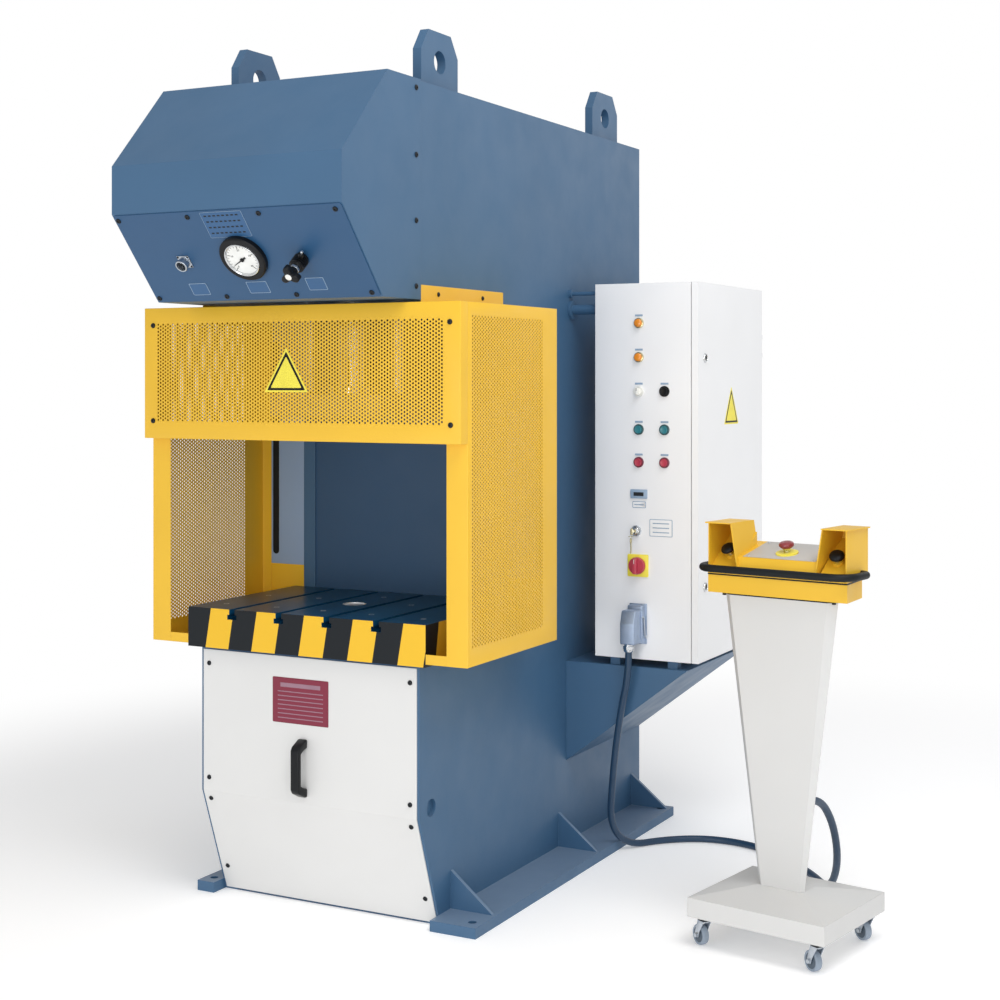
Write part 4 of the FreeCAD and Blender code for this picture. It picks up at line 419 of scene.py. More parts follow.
def relief(tree, shader, height, depth, radius=0.0):
    """Bump of a real depth in millimetres, over edges that catch light as if rounded."""
    inputs = {"Height": height, "Distance": depth * MM, "Strength": 1.0}
    if radius:
        inputs["Normal"] = add_node(tree, "ShaderNodeBevel", {"Radius": radius * MM},
                                    samples=4).outputs[0]
    bump = add_node(tree, "ShaderNodeBump", inputs)
    tree.links.new(bump.outputs[0], shader.inputs["Normal"])


# Pale grey blue of the painted light on level faces near the floor
PAINTED_LIGHT_TINT = (0.3, 0.38, 0.5, 1)


def painted_floor_light(tree, skin):
    """Painted light: level faces near the floor are lightened towards a pale grey blue, as if lit from
    above.
    """
    level, height = facing_way(tree)["Z"], axes(tree, object_point(tree))["Z"]
    cover = math_node(tree, "MULTIPLY", spread(tree, level, 0, 1, 0.3, 0.9),
                      spread(tree, height, 0.45, 0, 0.03, 0.4))
    return mixed(tree, cover, skin, PAINTED_LIGHT_TINT)


def dress(tree, shader, skin, roughness, height, depth, edge):
    """Give a shader its colour, roughness and relief."""
    tree.links.new(skin, shader.inputs["Base Color"])
    tree.links.new(roughness, shader.inputs["Roughness"])
    relief(tree, shader, height, depth, edge)


def powder_coat(name, shade, roughness=0.45, peel=2.2, edge=1.6, depth=0.02, cast=0.03,
                lit_low_tops=False, gloss=0.5):
    """Baked powder coat on steel: the fine orange peel breaks up reflections, and edges look soft."""
    finish, tree, shader = new_finish(name, shade, ior=1.5, specular_ior_level=gloss)
    cloud = spread(tree, grain(tree, 260), 0, 1)
    skin = tint(tree, cloud, shade, 1 - cast, 1 + cast)
    # Painted light on level faces near the floor
    if lit_low_tops:
        skin = painted_floor_light(tree, skin)
    dress(tree, shader, skin, spread(tree, grain(tree, 90, 3), roughness - 0.05, roughness + 0.07),
          grain(tree, peel, 1), depth, edge)
    return finish


def bare_metal(name, shade, roughness=0.3, spacing=1.2, stretch=(1, 1, 1), depth=0.01, edge=0.4):
    """Bare or plated metal: reflections are smeared along the marks of its making."""
    finish, tree, shader = new_finish(name, shade, metallic=1.0)
    marks = grain(tree, spacing, 3, stretch)
    dress(tree, shader, tint(tree, spread(tree, grain(tree, 25), 0, 1), shade, 0.9, 1.05),
          spread(tree, marks, roughness - 0.08, roughness + 0.12), marks, depth, edge)
    return finish


def moulded(name, shade, roughness=0.4, spacing=0.6, depth=0.01, coat=0.0, gloss=0.5):
    """Injection-moulded plastic: a fine even grain dulls the highlights a little."""
    finish, tree, shader = new_finish(name, shade, ior=1.5, coat_weight=coat,
                                      specular_ior_level=gloss)
    dress(tree, shader, tint(tree, spread(tree, grain(tree, 30), 0, 1), shade, 0.94, 1.05),
          spread(tree, grain(tree, 8, 2), roughness - 0.05, roughness + 0.08),
          grain(tree, spacing, 1), depth, 0.3)
    return finish


STRIPE_TOP, STRIPE_LEAN = 0.788, 0.17          # metres, and metres aside for each metre down
FRONT_STRIPE_START, SIDE_STRIPE_START = 0.294, 0.667
PAINTED_FROM = 0.3695                          # metres from the middle of the table


def striped_table():
    """Blued steel table whose front and sides carry slanted black and yellow warning paint."""
    shade = colour("table_steel")
    finish, tree, shader = new_finish("blued_steel_with_warning_paint", shade,
                                      ior=1.5, specular_ior_level=0.3)
    at, facing = axes(tree, object_point(tree)), facing_way(tree)
    calc = functools.partial(math_node, tree)
    pitch = size("stripe_pitch") * MM
    lean = calc("MULTIPLY", calc("SUBTRACT", STRIPE_TOP, at["Z"]), STRIPE_LEAN)
    front = calc("LESS_THAN", facing["Y"], -0.5)
    run = calc("ADD", at["X"], FRONT_STRIPE_START)
    side_run = calc("ADD", at["Y"], SIDE_STRIPE_START)
    run = add_node(tree, "ShaderNodeMix", {0: front, 2: side_run, 3: run}).outputs[0]
    phase = calc("FRACT", calc("DIVIDE", calc("ADD", run, lean), pitch))
    yellow = calc("LESS_THAN", phase, 0.5)
    dark, light = (*colour("stripe_black"), 1), (*colour("guard_yellow"), 1)
    paint = mixed(tree, yellow, dark, light)
    steel = tint(tree, spread(tree, grain(tree, 40, 4, (1, 0.15, 1)), 0, 1), shade, 0.85, 1.2)
    upright = calc("LESS_THAN", calc("ABSOLUTE", facing["Z"]), 0.5)
    inside = calc("GREATER_THAN", calc("MAXIMUM", calc("ABSOLUTE", at["X"]),
                                       calc("MULTIPLY", front, 1.0)), PAINTED_FROM)
    painted_face = calc("MULTIPLY", upright, inside)
    rough = add_node(tree, "ShaderNodeMix", {0: painted_face, 2: 0.3, 3: 0.45}).outputs[0]
    dress(tree, shader, mixed(tree, painted_face, steel, paint), rough,
          grain(tree, 3, 2, (1, 0.2, 1)), 0.02, 1.2)
    return finish


FINISH = {}


def mix_finishes():
    """All finishes, once the colours are settled."""
    FINISH.update({
        # The frame carries painted light on its level faces near the floor
        "frame": powder_coat("blue_powder_coat", colour("frame_blue"), lit_low_tops=True),
        "panel": powder_coat("dark_blue_powder_coat", colour("panel_blue"), 0.4),
        "guard": powder_coat("yellow_powder_coat", colour("guard_yellow"), 0.42, edge=1.0),
        # Painted light: the slotted closing plates get a lighter copy of the frame blue
        "pale": powder_coat("pale_blue_powder_coat", colour("pale_blue"), 0.45, edge=1.0),
        # Cabinet and pedestal share one enamel; the cabinet's copy is lighter by painted light
        "cabinet": powder_coat("light_grey_enamel", colour("light_grey"), 0.4, peel=1.4, cast=0.012),
        "cover": powder_coat("white_enamel", colour("cover_white"), 0.42, peel=1.6, cast=0.015),
        # The pedestal's copy of the enamel is darker by painted shade
        "pedestal": powder_coat("pedestal_enamel", colour("darkened_pedestal_grey"), 0.42, peel=1.4, cast=0.012),
        # Painted shade: the frame's inner plates get a darker copy of the frame blue
        "inner frame": powder_coat("inner_blue_powder_coat", colour("shaded_throat_blue"), 0.5),
        "desk": powder_coat("grey_textured_enamel", colour("desk_grey"), 0.5, peel=1.0, depth=0.04),
        "sign": powder_coat("dark_red_foil", colour("sign_red"), 0.4, peel=1.0, depth=0.005),
        "table": striped_table(),
        "black steel": powder_coat("black_oxide_steel", linear("1B1F24"), 0.4, peel=1.0, edge=0.6,
                                   gloss=0.25),
        "steel": bare_metal("ground_steel", linear("C9CCCF"), 0.28, 0.8, (1, 1, 0.1)),
        "chrome": bare_metal("hard_chrome", linear("D8DADC"), 0.12, 2.0, depth=0.002),
        "zinc": bare_metal("bright_zinc_plate", linear("C3CAD2"), 0.33, 1.5),
        "brass": bare_metal("nickel_brass", linear("C9BE93"), 0.25, 1.5),
        "die cast": bare_metal("painted_die_casting", linear("A9B8CE"), 0.5, 1.0, depth=0.03),
        "black": moulded("black_moulded_plastic", linear("101215"), 0.35, gloss=0.25),
        "rail": moulded("black_rubber_sleeve", linear("12171A"), 0.5, 1.2, 0.03, gloss=0.25),
        "red": moulded("red_moulded_plastic", colour("button_red"), 0.35, coat=0.3),
        "stop red": moulded("brown_red_moulded_plastic", linear("8A2E33"), 0.35, coat=0.3),
        "hub": moulded("dark_wheel_hub", linear("4B5865"), 0.45),
        "plate blue": powder_coat("blue_label_foil", linear("2C5883"), 0.35, peel=0.8, depth=0.004),
        "green": moulded("green_moulded_plastic", colour("button_green"), 0.35, coat=0.3),
        "dark green": moulded("dark_green_bezel", linear("1E4B50"), 0.35, coat=0.3),
        "dark red": moulded("dark_red_bezel", linear("6B2338"), 0.35, coat=0.3),
        "rule": moulded("pale_print", linear("94707F"), 0.5),
        "white": moulded("white_moulded_plastic", linear("E9E9E4"), 0.35),
        "grey": moulded("grey_moulded_plastic", linear("8E959C"), 0.45),
        "wheel": moulded("grey_elastic_tyre", linear("8E9BAA"), 0.55, 1.0, 0.02),
        "cable": moulded("blue_black_cable_jacket", colour("cable_blue"), 0.42, 1.6, 0.05),
        "dial": moulded("white_printed_dial", linear("E8E9E6"), 0.5, 2.0, 0.0),
        "yellow plate": moulded("yellow_plate", linear("EFE04A"), 0.4),
        "foil": powder_coat("brushed_label_foil", linear("8FA6BE"), 0.35, peel=0.8, depth=0.004),
        "amber": moulded("amber_lens", colour("lamp_amber"), 0.2, 2.0, 0.004, coat=0.6),
        "spot steel": bare_metal("bright_screw_face", linear("E6EAEE"), 0.6, 1.0),
        "dark": moulded("dark_opening", linear("10151A"), 0.7),
    })


CARRIED_OVER = {
    "frame": ("side_plate_left", "side_plate_right", "lifting_lugs", "head_cover",
              "cabinet_bracket", "cabinet_stays"),
    # Painted shade on the frame's inner plates
    "inner frame": ("frame_plates",),
    "pedestal": ("pedestal_column", "pedestal_tray"),
    "panel": ("control_panel",),
    # Painted light on the slotted closing plates
    "pale": ("guard_rear_plates",),
    "table": ("work_table",),
    "cabinet": ("cabinet_body", "cabinet_door"),
    "cover": ("lower_front_cover",),
    "guard": ("console_body", "guard_side_left", "guard_side_right", "guard_front_panel",
              "console_cover"),
    "black steel": ("cylinder", "hydraulic_unit", "cover_screws", "regulator_valve"),
    "chrome": ("ram_rod",),
    "steel": ("platen", "door_lock_upper", "door_lock_lower"),
    "zinc": ("device_bezels", "panel_socket", "key_switch", "connector_lever"),
    "black": ("pressure_gauge", "gauge_pointer", "regulator_knob", "cover_handle", "black_button",
              "palm_button_left", "palm_button_right"),
    "rail": ("push_rail",),
    "amber": ("pilot_lights",),
    "green": ("green_button_left", "green_button_right"),
    "red": ("red_button_left", "red_button_right", "stop_button", "isolator_knob"),
    "white": ("mode_selector",),
    "yellow plate": ("device_plates",),
    "die cast": ("connector_base", "connector_hood"),
    "cable": ("control_cable",),
}


# ---- the control cable

CABLE_POINTS = (
    (0.562, 0.095, 0.614), (0.562, 0.095, 0.552), (0.537, 0.103, 0.455), (0.513, 0.117, 0.340),
    (0.492, 0.138, 0.225), (0.466, 0.178, 0.085), (0.492, 0.252, 0.0102), (0.566, 0.362, 0.0102),
    (0.676, 0.436, 0.0102), (0.822, 0.430, 0.0102), (0.952, 0.340, 0.0102), (1.062, 0.232, 0.0102),
    (1.150, 0.110, 0.0102), (1.203, 0.012, 0.118), (1.211, -0.066, 0.246),
    (1.19789, -0.16036, 0.333), (1.18303, -0.24912, 0.333),
)


class PRESS_OT_control_cable(bpy.types.Operator):
    """Lay the control cable from the plug over the floor to the pedestal"""
    bl_idname = "press.control_cable"
    bl_label = "Control cable"

    def execute(self, context):
        cable = added(bpy.ops.curve.primitive_nurbs_path_add)
        line = cable.data
        line.splines.clear()
        spline = line.splines.new("NURBS")
        spline.points.add(len(CABLE_POINTS) - 1)
        for point, co in zip(spline.points, CABLE_POINTS):
            point.co = (*co, 1)
        spline.order_u = 3
        spline.use_endpoint_u = True
        line.dimensions = "3D"
        line.resolution_u = 16
        line.bevel_depth = size("cable_size") / 2 * MM
        line.bevel_resolution = 5
        line.use_fill_caps = True
        cable.name = line.name = "control_cable_jacket"
        painted(cable, "cable")
        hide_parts("control_cable")
        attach(cable, "root")
        size("cable_size") * MM
        return {"FINISHED"}


# ---- guard

GUARD_SHEET = 2.0
GUARD_HALF = 490.0
GUARD_LOW, GUARD_TOP = 690.0, 1592.0
GUARD_FRONT, GUARD_REAR = -734.0, -229.0
GUARD_POST = 60.0
GUARD_FLANGE = 33.0
GUARD_SILL = 25.0
FLOOR_RIM = 370.0           # half the gap between the two floor flanges
ROOF_RIM = 340.0            # half the gap between the two roof flanges
TAB_TOP, TAB_FRONT, TAB_REAR = 1638.0, -708.0, -263.0
PANEL_FACE, PANEL_LOW, PANEL_DEPTH = -770.0, 1241.0, 36.0
FRONT_FIELD = (-448.0, 442.0, 1283.0, 1555.0)
SIDE_FIELD = (-714.0, -316.0, 733.0, 1562.0)
MARGIN_PROUD = 0.1
GUARD_SCREWS = ((-460, 1545), (460, 1541), (-460, 1288), (462, 1288))
TAB_SCREWS_Y, TAB_SCREWS_Z = (-621, -383), 1617
SIGN_BASE, SIGN_TOP, SIGN_MIDDLE, SIGN_HALF = 1367.0, 1482.0, -25.0, 68.0
REAR_FRAME, REAR_OUTER = 340.3, 486.0
REAR_SPLIT, REAR_TOP = 851.0, 1588.0
SLOT_MIDDLE, SLOT_HALF, SLOT_LOW, SLOT_HIGH = 441.5, 11.5, 879.0, 1511.5


def hexagon(pitch, hole=0.0):
    """One hexagonal cell of sheet, flats up and down, with a six-sided hole if one is asked for."""
    cell = added(bpy.ops.mesh.primitive_circle_add, vertices=6, radius=pitch / math.sqrt(3) * MM,
                 fill_type="NGON")
    edit_all()
    bpy.ops.transform.rotate(value=math.radians(30), orient_axis="Z", center_override=(0, 0, 0))
    if hole:
        bpy.ops.mesh.inset(thickness=(pitch - hole) / 2 * MM)
        bpy.ops.mesh.delete(type="FACE")
    leave_edit()
    return cell


def repeated(cell, count, step):
    """The cell in a row, its touching corners merged."""
    return finish_with(cell, "ARRAY", count=count, use_relative_offset=False,
                       use_constant_offset=True, use_merge_vertices=True, merge_threshold=0.00002,
                       constant_offset_displace=(step[0] * MM, step[1] * MM, 0))


def perforated(field, where, thick=GUARD_SHEET):
    """Field of staggered holes, standing off along local Z; returns the sheet and its true window."""
    x0, x1, y0, y1 = field
    pitch, hole = size("hole_pitch"), size("hole_size")
    across = pitch * math.sqrt(3) / 2
    pairs = int((x1 - x0) / across / 2)
    rows = int((y1 - y0) / pitch)
    blocks = []
    for cell, count, start in ((hexagon(pitch, hole), rows, (0, 0)),
                               (hexagon(pitch, hole), rows - 1, (across, pitch / 2)),
                               (hexagon(pitch), 1, (across, -pitch / 2)),
                               (hexagon(pitch), 1, (across, (rows - 0.5) * pitch))):
        blocks.append(settle(repeated(repeated(cell, count, (0, pitch)), pairs, (2 * across, 0)),
                             shift(*start)))
    wide, tall = (2 * pairs - 1) * across, (rows - 1) * pitch
    left, low = (x0 + x1 - wide) / 2, (y0 + y1 - tall) / 2
    sheet = settle(face_out(joined(blocks)), shift(left, low))
    finish_with(sheet, "SOLIDIFY", thickness=thick * MM, offset=1)
    rim = across / 3
    window = (left - rim, left + wide + rim, low - pitch / 2, low + tall + pitch / 2)
    return settle(sheet, where), window


def tray(outline, window, returns, where, thick=GUARD_SHEET, bend=2.0):
    """Folded sheet with a rectangular window; its edges turn back by the given returns."""
    x0, x1, y0, y1 = outline
    piece = added(bpy.ops.mesh.primitive_plane_add, size=2 * MM)
    edit_all()
    if window:
        bpy.ops.mesh.inset(thickness=0.5 * MM)
        bpy.ops.mesh.delete(type="FACE")
    leave_edit()
    for vertex in piece.data.vertices:
        rim = outline if abs(vertex.co.x) > 0.75 * MM else window
        vertex.co.x = rim[1 if vertex.co.x > 0 else 0] * MM
        vertex.co.y = rim[3 if vertex.co.y > 0 else 2] * MM
    for (axis, at), depth in zip(((0, x0), (0, x1), (1, y0), (1, y1)), returns):
        if depth:
            for vertex in piece.data.vertices:
                vertex.select = abs(vertex.co[axis] - at * MM) < 1e-6 and abs(vertex.co.z) < 1e-6
            bpy.ops.object.mode_set(mode="EDIT")
            bpy.ops.mesh.select_mode(type="VERT")
            draw_out((0, 0, -depth * MM))
            bpy.ops.mesh.select_all(action="DESELECT")
            leave_edit()
    face_out(piece)
    soften(piece, bend, 3, 30)
    finish_with(piece, "SOLIDIFY", thickness=thick * MM, offset=-1)
    return settle(piece, where)


def button_head(where, diameter, flats=6):
    """Socket button-head screw: a low dome with a recess."""
    radius, rise = diameter / 2, diameter * 0.3
    head = turned([(radius, 0), (radius, rise * 0.25), (radius * 0.93, rise * 0.55),
                   (radius * 0.75, rise * 0.85), (radius * 0.45, rise)], sides=flats * 4)
    drop_top(head, radius * 0.12, rise * 0.6)
    return settle(head, where)


def drop_top(piece, rim, depth):
    """Inset the highest face by a rim and push it down."""
    hold(piece)
    bpy.ops.object.mode_set(mode="EDIT")
    bpy.ops.mesh.select_all(action="DESELECT")
    bpy.ops.mesh.select_mode(type="FACE")
    leave_edit()
    top = max(piece.data.polygons, key=lambda face: (round(face.center.z, 6), face.area))
    top.select = True
    bpy.ops.object.mode_set(mode="EDIT")
    bpy.ops.mesh.inset(thickness=rim * MM)
    draw_out((0, 0, -depth * MM))
    bpy.ops.mesh.select_mode(type="VERT")
    leave_edit()


def rounded_outline(outline, radius, steps=4):
    """A polygon's corners replaced by arcs."""
    points = []
    for i, corner in enumerate(outline):
        corner = Vector(corner)
        before, after = Vector(outline[i - 1]), Vector(outline[(i + 1) % len(outline)])
        back, ahead = (before - corner).normalized(), (after - corner).normalized()
        half = back.angle(ahead) / 2
        centre = corner + (back + ahead).normalized() * radius / math.sin(half)
        start = corner + back * radius / math.tan(half) - centre
        sweep = start.angle_signed(corner + ahead * radius / math.tan(half) - centre)
        for step in range(steps + 1):
            spoke = start.copy()
            spoke.rotate(Matrix.Rotation(-sweep * step / steps, 2))
            points.append(tuple(centre + spoke))
    return points


def bare_triangle(where, half, height, finish="yellow plate"):
    """Blank three-cornered plate with a dark line inside its edge."""
    parts = []
    for rim, low, thick, name in ((0.0, 0.0, 0.4, finish), (0.07, 0.4, 0.1, "black"),
                                  (0.16, 0.5, 0.1, finish)):
        side = half * (1 - rim * 1.8)
        outline = [(-side, half * rim), (side, half * rim), (0, height - half * rim * 2.1)]
        parts.append(painted(cut_plate(outline, thick, where, low, radius=2), name))
    return parts


class PRESS_OT_guard(bpy.types.Operator):
    """Fold and perforate the guard's side panels and front panel"""
    bl_idname = "press.guard"
    bl_label = "Guard"

    def execute(self, context):
        for build in (self.side_panels, self.front_panel, self.rear_sheets, self.screws):
            build()
        return {"FINISHED"}

    def side_panels(self):
        base = GUARD_HALF - GUARD_SHEET
        sheet, window = perforated(SIDE_FIELD, place((base, 0, 0), Y))
        wall = tray((GUARD_FRONT, GUARD_REAR, GUARD_LOW, GUARD_TOP), window,
                    (GUARD_POST, GUARD_FLANGE, GUARD_HALF - FLOOR_RIM, GUARD_HALF - ROOF_RIM),
                    place((GUARD_HALF + MARGIN_PROUD, 0, 0), Y))
        tab = block((ROOF_RIM, TAB_FRONT, GUARD_TOP - GUARD_SHEET),
                    (ROOF_RIM + GUARD_SHEET, TAB_REAR, TAB_TOP), edge=0.8)
        sill = block((FLOOR_RIM, GUARD_FRONT, GUARD_LOW),
                     (GUARD_HALF - GUARD_POST, GUARD_FRONT + GUARD_SHEET, GUARD_LOW + GUARD_SILL),
                     edge=0.4)
        heads = [button_head(place((ROOF_RIM + GUARD_SHEET, y, TAB_SCREWS_Z), Y), 12)
                 for y in TAB_SCREWS_Y]
        right = joined(coated("guard", sheet, wall, tab, sill) + coated("black steel", *heads))
        left = mirrored(right)
        done([right], "guard_side_sheet_right",
             stands_for="guard_side_right")
        done([left], "guard_side_sheet_left", stands_for="guard_side_left")

    def front_panel(self):
        sheet, window = perforated(FRONT_FIELD, place((0, PANEL_FACE + GUARD_SHEET, 0)))
        panel = tray((-GUARD_HALF, GUARD_HALF, PANEL_LOW, GUARD_TOP), window, (PANEL_DEPTH,) * 4,
                     place((0, PANEL_FACE - MARGIN_PROUD, 0)))
        done(coated("guard", sheet, panel), "guard_front_sheet",
             stands_for="guard_front_panel")
        sign = bare_triangle(place((SIGN_MIDDLE, PANEL_FACE - MARGIN_PROUD, SIGN_BASE)),
                             SIGN_HALF, SIGN_TOP - SIGN_BASE)
        done(sign, "guard_blank_plate")

    def rear_sheets(self):
        at = place((0, GUARD_REAR + GUARD_SHEET, 0))
        upper = cut_plate(corners(REAR_FRAME, REAR_OUTER, REAR_SPLIT, REAR_TOP), GUARD_SHEET)
        middle, half = SLOT_MIDDLE, SLOT_HALF
        slot = corners(middle - half, middle + half, SLOT_LOW, SLOT_HIGH)
        slot = cut_plate(rounded_outline(slot, half - 0.5, 6), 6, low=-2)
        finish_with(upper, "BOOLEAN", operation="DIFFERENCE", object=slot)
        bpy.data.objects.remove(slot)
        lower = cut_plate(corners(REAR_FRAME, REAR_OUTER, GUARD_LOW, REAR_SPLIT), GUARD_SHEET)
        # A black sheet behind the slot: painted shade seen through it
        dark_slot_backing = cut_plate(corners(middle - 16, middle + 16, SLOT_LOW - 6, SLOT_HIGH + 6), 1.5, low=-1.5)
        parts = [painted(upper, "pale"), painted(lower, "guard"), painted(dark_slot_backing, "rail")]
        right = joined([settle(part, at) for part in parts])
        done([right, mirrored(right)], "guard_rear_sheets",
             stands_for="guard_rear_plates")

    def screws(self):
        heads = [button_head(place((x, PANEL_FACE - MARGIN_PROUD, z)), size("screw_head"))
                 for x, z in GUARD_SCREWS]
        done(coated("black steel", *heads), "guard_screw_heads",
             stands_for="cover_screws")


# ---- inclined panel: gauge, socket, regulator and plates

GAUGE_UP = 137.0
GAUGE_RADIUS = 64.0
DIAL_HEIGHT = 13.0
DIAL_RADIUS = 42.0
DIAL_SWEEP = 270.0
DIAL_MARKS, LONG_EVERY = 21, 5
LONG_MARK, SHORT_MARK = (9, 0.9), (5, 0.45)        # how far in it begins, and half its width
FIGURE_STEP, FIGURE_HEIGHT, FIGURE_IN = 2, 8, 13.5
BEZEL_SCREWS_OUT = 59
POINTER_REST = -118.0       # degrees from upright to the left
SOCKET_SPOT = (-187.0, 130.0)
SOCKET_SCREWS, SOCKET_PINS = (-14.6, 14.6), 3
VALVE_SPOT = (165.0, 125.0)
VALVE_RIBS, RIB_PITCH = 5, 6
KNOB_SEAT, KNOB_REACH, KNOB_LOBE = 58.2, 18.8, 8.0
PANEL_SCREWS_X = (-329.0, -113.0, 100.0, 319.0)
PANEL_SCREWS_UP = (16.0, 262.0)
COVER_SCREWS_Z = (2129.0, 1961.0, 1797.0, 1633.0)
COVER_SCREWS_Y = -734.0
COVER_SIDE = 343.0
PANEL_LABELS = ((-213, -159, 23, 60), (-35, 27, 24, 60), (145, 199, 28, 66))
RULED_PLATE = (-72, 52, 197, 273)
DASH_ROWS, DASH_COLUMNS = 4, 8
DASH_START, DASH_STEP, DASH_SIZE = (9, 12), (13.4, 17), (8, 4)


def lettering(words, height, where, finish, thick=0.3):
    """Flat characters of plain type, made a mesh."""
    text = added(bpy.ops.object.text_add)
    text.data.body = words
    text.data.size = height * MM
    text.data.align_x, text.data.align_y = "CENTER", "CENTER"
    text.data.extrude = thick / 2 * MM
    text.data.resolution_u = 3
    bpy.ops.object.convert(target="MESH")
    return painted(settle(bpy.context.object, where), finish)


def edged_plate(x0, x1, y0, y1, where, face, edge, rim=1.6):
    """Thin rounded plate with a raised rim of another finish."""
    back = cut_plate(corners(x0, x1, y0, y1), 0.6, where, radius=3)
    front = cut_plate(corners(x0 + rim, x1 - rim, y0 + rim, y1 - rim), 0.2, where, 0.6, radius=2)
    return [painted(back, edge), painted(front, face)]


class PRESS_OT_panel(bpy.types.Operator):
    """Fit the gauge, socket, regulator, plates and screws of the head"""
    bl_idname = "press.panel"
    bl_label = "Head and panel"

    def execute(self, context):
        for build in (self.gauge, self.pointer, self.socket, self.regulator, self.knob,
                      self.plates, self.screws):
            build()
        return {"FINISHED"}

    def gauge(self):
        at = on_panel(0, GAUGE_UP)
        rim = DIAL_RADIUS + 1
        flange = turned([(GAUGE_RADIUS - 1, 0), (GAUGE_RADIUS, 1), (GAUGE_RADIUS, 12),
                         (GAUGE_RADIUS - 3.5, 15.5), (rim + 7, 16), (rim + 5, 15),
                         (rim + 5, DIAL_HEIGHT - 1)], at, 64)
        bezel = turned([(rim + 5, DIAL_HEIGHT - 1), (rim + 5, 17), (rim + 4, 18), (rim + 2, 18),
                        (rim + 0.8, 17), (rim, DIAL_HEIGHT - 0.4)], at, 64)
        dial = turned([(rim - 0.4, DIAL_HEIGHT - 1), (rim - 0.4, DIAL_HEIGHT)], at, 64)
        parts = [painted(flange, "black"), painted(bezel, "chrome"), painted(dial, "dial")]
        for i in range(DIAL_MARKS):
            long = i % LONG_EVERY == 0
            reach, half = LONG_MARK if long else SHORT_MARK
            turn = rotated(DIAL_SWEEP / 2 - DIAL_SWEEP * i / (DIAL_MARKS - 1))
            mark = block((-half, DIAL_RADIUS - reach, DIAL_HEIGHT),
                         (half, DIAL_RADIUS - 1, DIAL_HEIGHT + 0.25), at @ turn)
            parts.append(painted(mark, "black"))
            if long:
                spot = turn @ Vector((0, (DIAL_RADIUS - FIGURE_IN) * MM, (DIAL_HEIGHT + 0.15) * MM))
                parts.append(lettering(str(i * FIGURE_STEP), FIGURE_HEIGHT,
                                       at @ Matrix.Translation(spot), "black"))
        parts += coated("brass", *[button_head(at @ rotated(turn) @ shift(BEZEL_SCREWS_OUT, 0, 11), 5)
                                   for turn in (30, 150, 270)])
        done(parts, "gauge_case", stands_for="pressure_gauge")

    def pointer(self):
        at = on_panel(0, GAUGE_UP) @ rotated(-POINTER_REST)
        hand = cut_plate([(-3, -13), (3, -13), (1.8, 0), (0.5, 35), (-0.5, 35), (-1.8, 0)], 1.0,
                         at, DIAL_HEIGHT + 1)
        hub = turned([(5.5, DIAL_HEIGHT + 1), (5.5, DIAL_HEIGHT + 3), (3, DIAL_HEIGHT + 4)], at, 24)
        moving(coated("black", hand, hub), "gauge_hand", "black_plastic", "gauge_pointer")

    def socket(self):
        at = on_panel(*SOCKET_SPOT)
        flange = block((-18, -18, 0), (18, 18, 3), at, 1.0, 2)
        barrel = turned([(15, 3), (15, 13), (16.4, 14), (16.4, 22), (15.6, 23), (13, 23), (12.6, 22),
                         (12.4, 8)], at, 40)
        bore = turned([(12.3, 8.05), (12.3, 8.3)], at, 32)
        pins = [turned([(1.2, 8), (1.2, 15), (0.7, 16)], at @ rotated(120 * i) @ shift(6), 10)
                for i in range(SOCKET_PINS)]
        heads = [button_head(at @ shift(x, y, 3), 5.5) for x in SOCKET_SCREWS for y in SOCKET_SCREWS]
        parts = coated("zinc", flange, barrel) + coated("dark", bore) + coated("zinc", *pins)
        done(parts + coated("black steel", *heads), "panel_socket_shell",
             stands_for="panel_socket")

    def regulator(self):
        at = on_panel(*VALVE_SPOT)
        rings = [(17, 0), (17, 3)]
        for rib in range(VALVE_RIBS):
            low = 5 + rib * RIB_PITCH
            rings += [(16, low), (19.5, low + 1), (19.5, low + 3.4), (16, low + 4.4)]
        rings += [(15, 36), (11.5, 38), (10.5, 50), (12.5, 52), (12.5, 57), (11, 58)]
        body = turned(rings, at, 40)
        side = at @ rotated(-35) @ shift(0, 0, 17) @ rotated(-90, "X")
        elbow = turned([(6, 14), (6, 24), (7.5, 25), (7.5, 31), (5.5, 33)], side, 24)
        tip = turned([(3.6, 32), (3.6, 39), (2.8, 40)], side, 20)
        nut = turned([(13, 40.5), (13, 46), (12, 46.8)], at, 6)
        done(coated("black", body, elbow) + coated("zinc", nut, tip), "regulator_body",
             stands_for="regulator_valve")

    def knob(self):
        at = on_panel(VALVE_SPOT[0], VALVE_SPOT[1], KNOB_SEAT)
        outline = []
        for step in range(36):
            angle = math.radians(step * 10)
            reach = KNOB_REACH + KNOB_LOBE * math.cos(3 * angle)
            outline.append((reach * math.sin(angle), reach * math.cos(angle)))
        lobes = cut_plate(outline, 18, at, edge=3.5, segments=3)
        cap = turned([(8.5, 17.9), (8.5, 18.8), (7.5, 19.6), (3, 20)], at, 28)
        moving(coated("black", lobes) + coated("white", cap), "regulator_star_knob",
               "black_plastic", "regulator_knob")

    def plates(self):
        at = on_panel(0, 0)
        parts = []
        for x0, x1, y0, y1 in PANEL_LABELS:
            parts += edged_plate(x0, x1, y0, y1, at, "plate blue", "foil")
        x0, x1, y0, y1 = RULED_PLATE
        parts += edged_plate(x0, x1, y0, y1, at, "plate blue", "foil", 1.0)
        for row in range(DASH_ROWS):
            for column in range(DASH_COLUMNS):
                left = x0 + DASH_START[0] + column * DASH_STEP[0]
                up = y0 + DASH_START[1] + row * DASH_STEP[1]
                dash = block((left, up, 0.8), (left + DASH_SIZE[0], up + DASH_SIZE[1], 0.9), at)
                parts.append(painted(dash, "dark"))
        done(parts, "panel_plates")

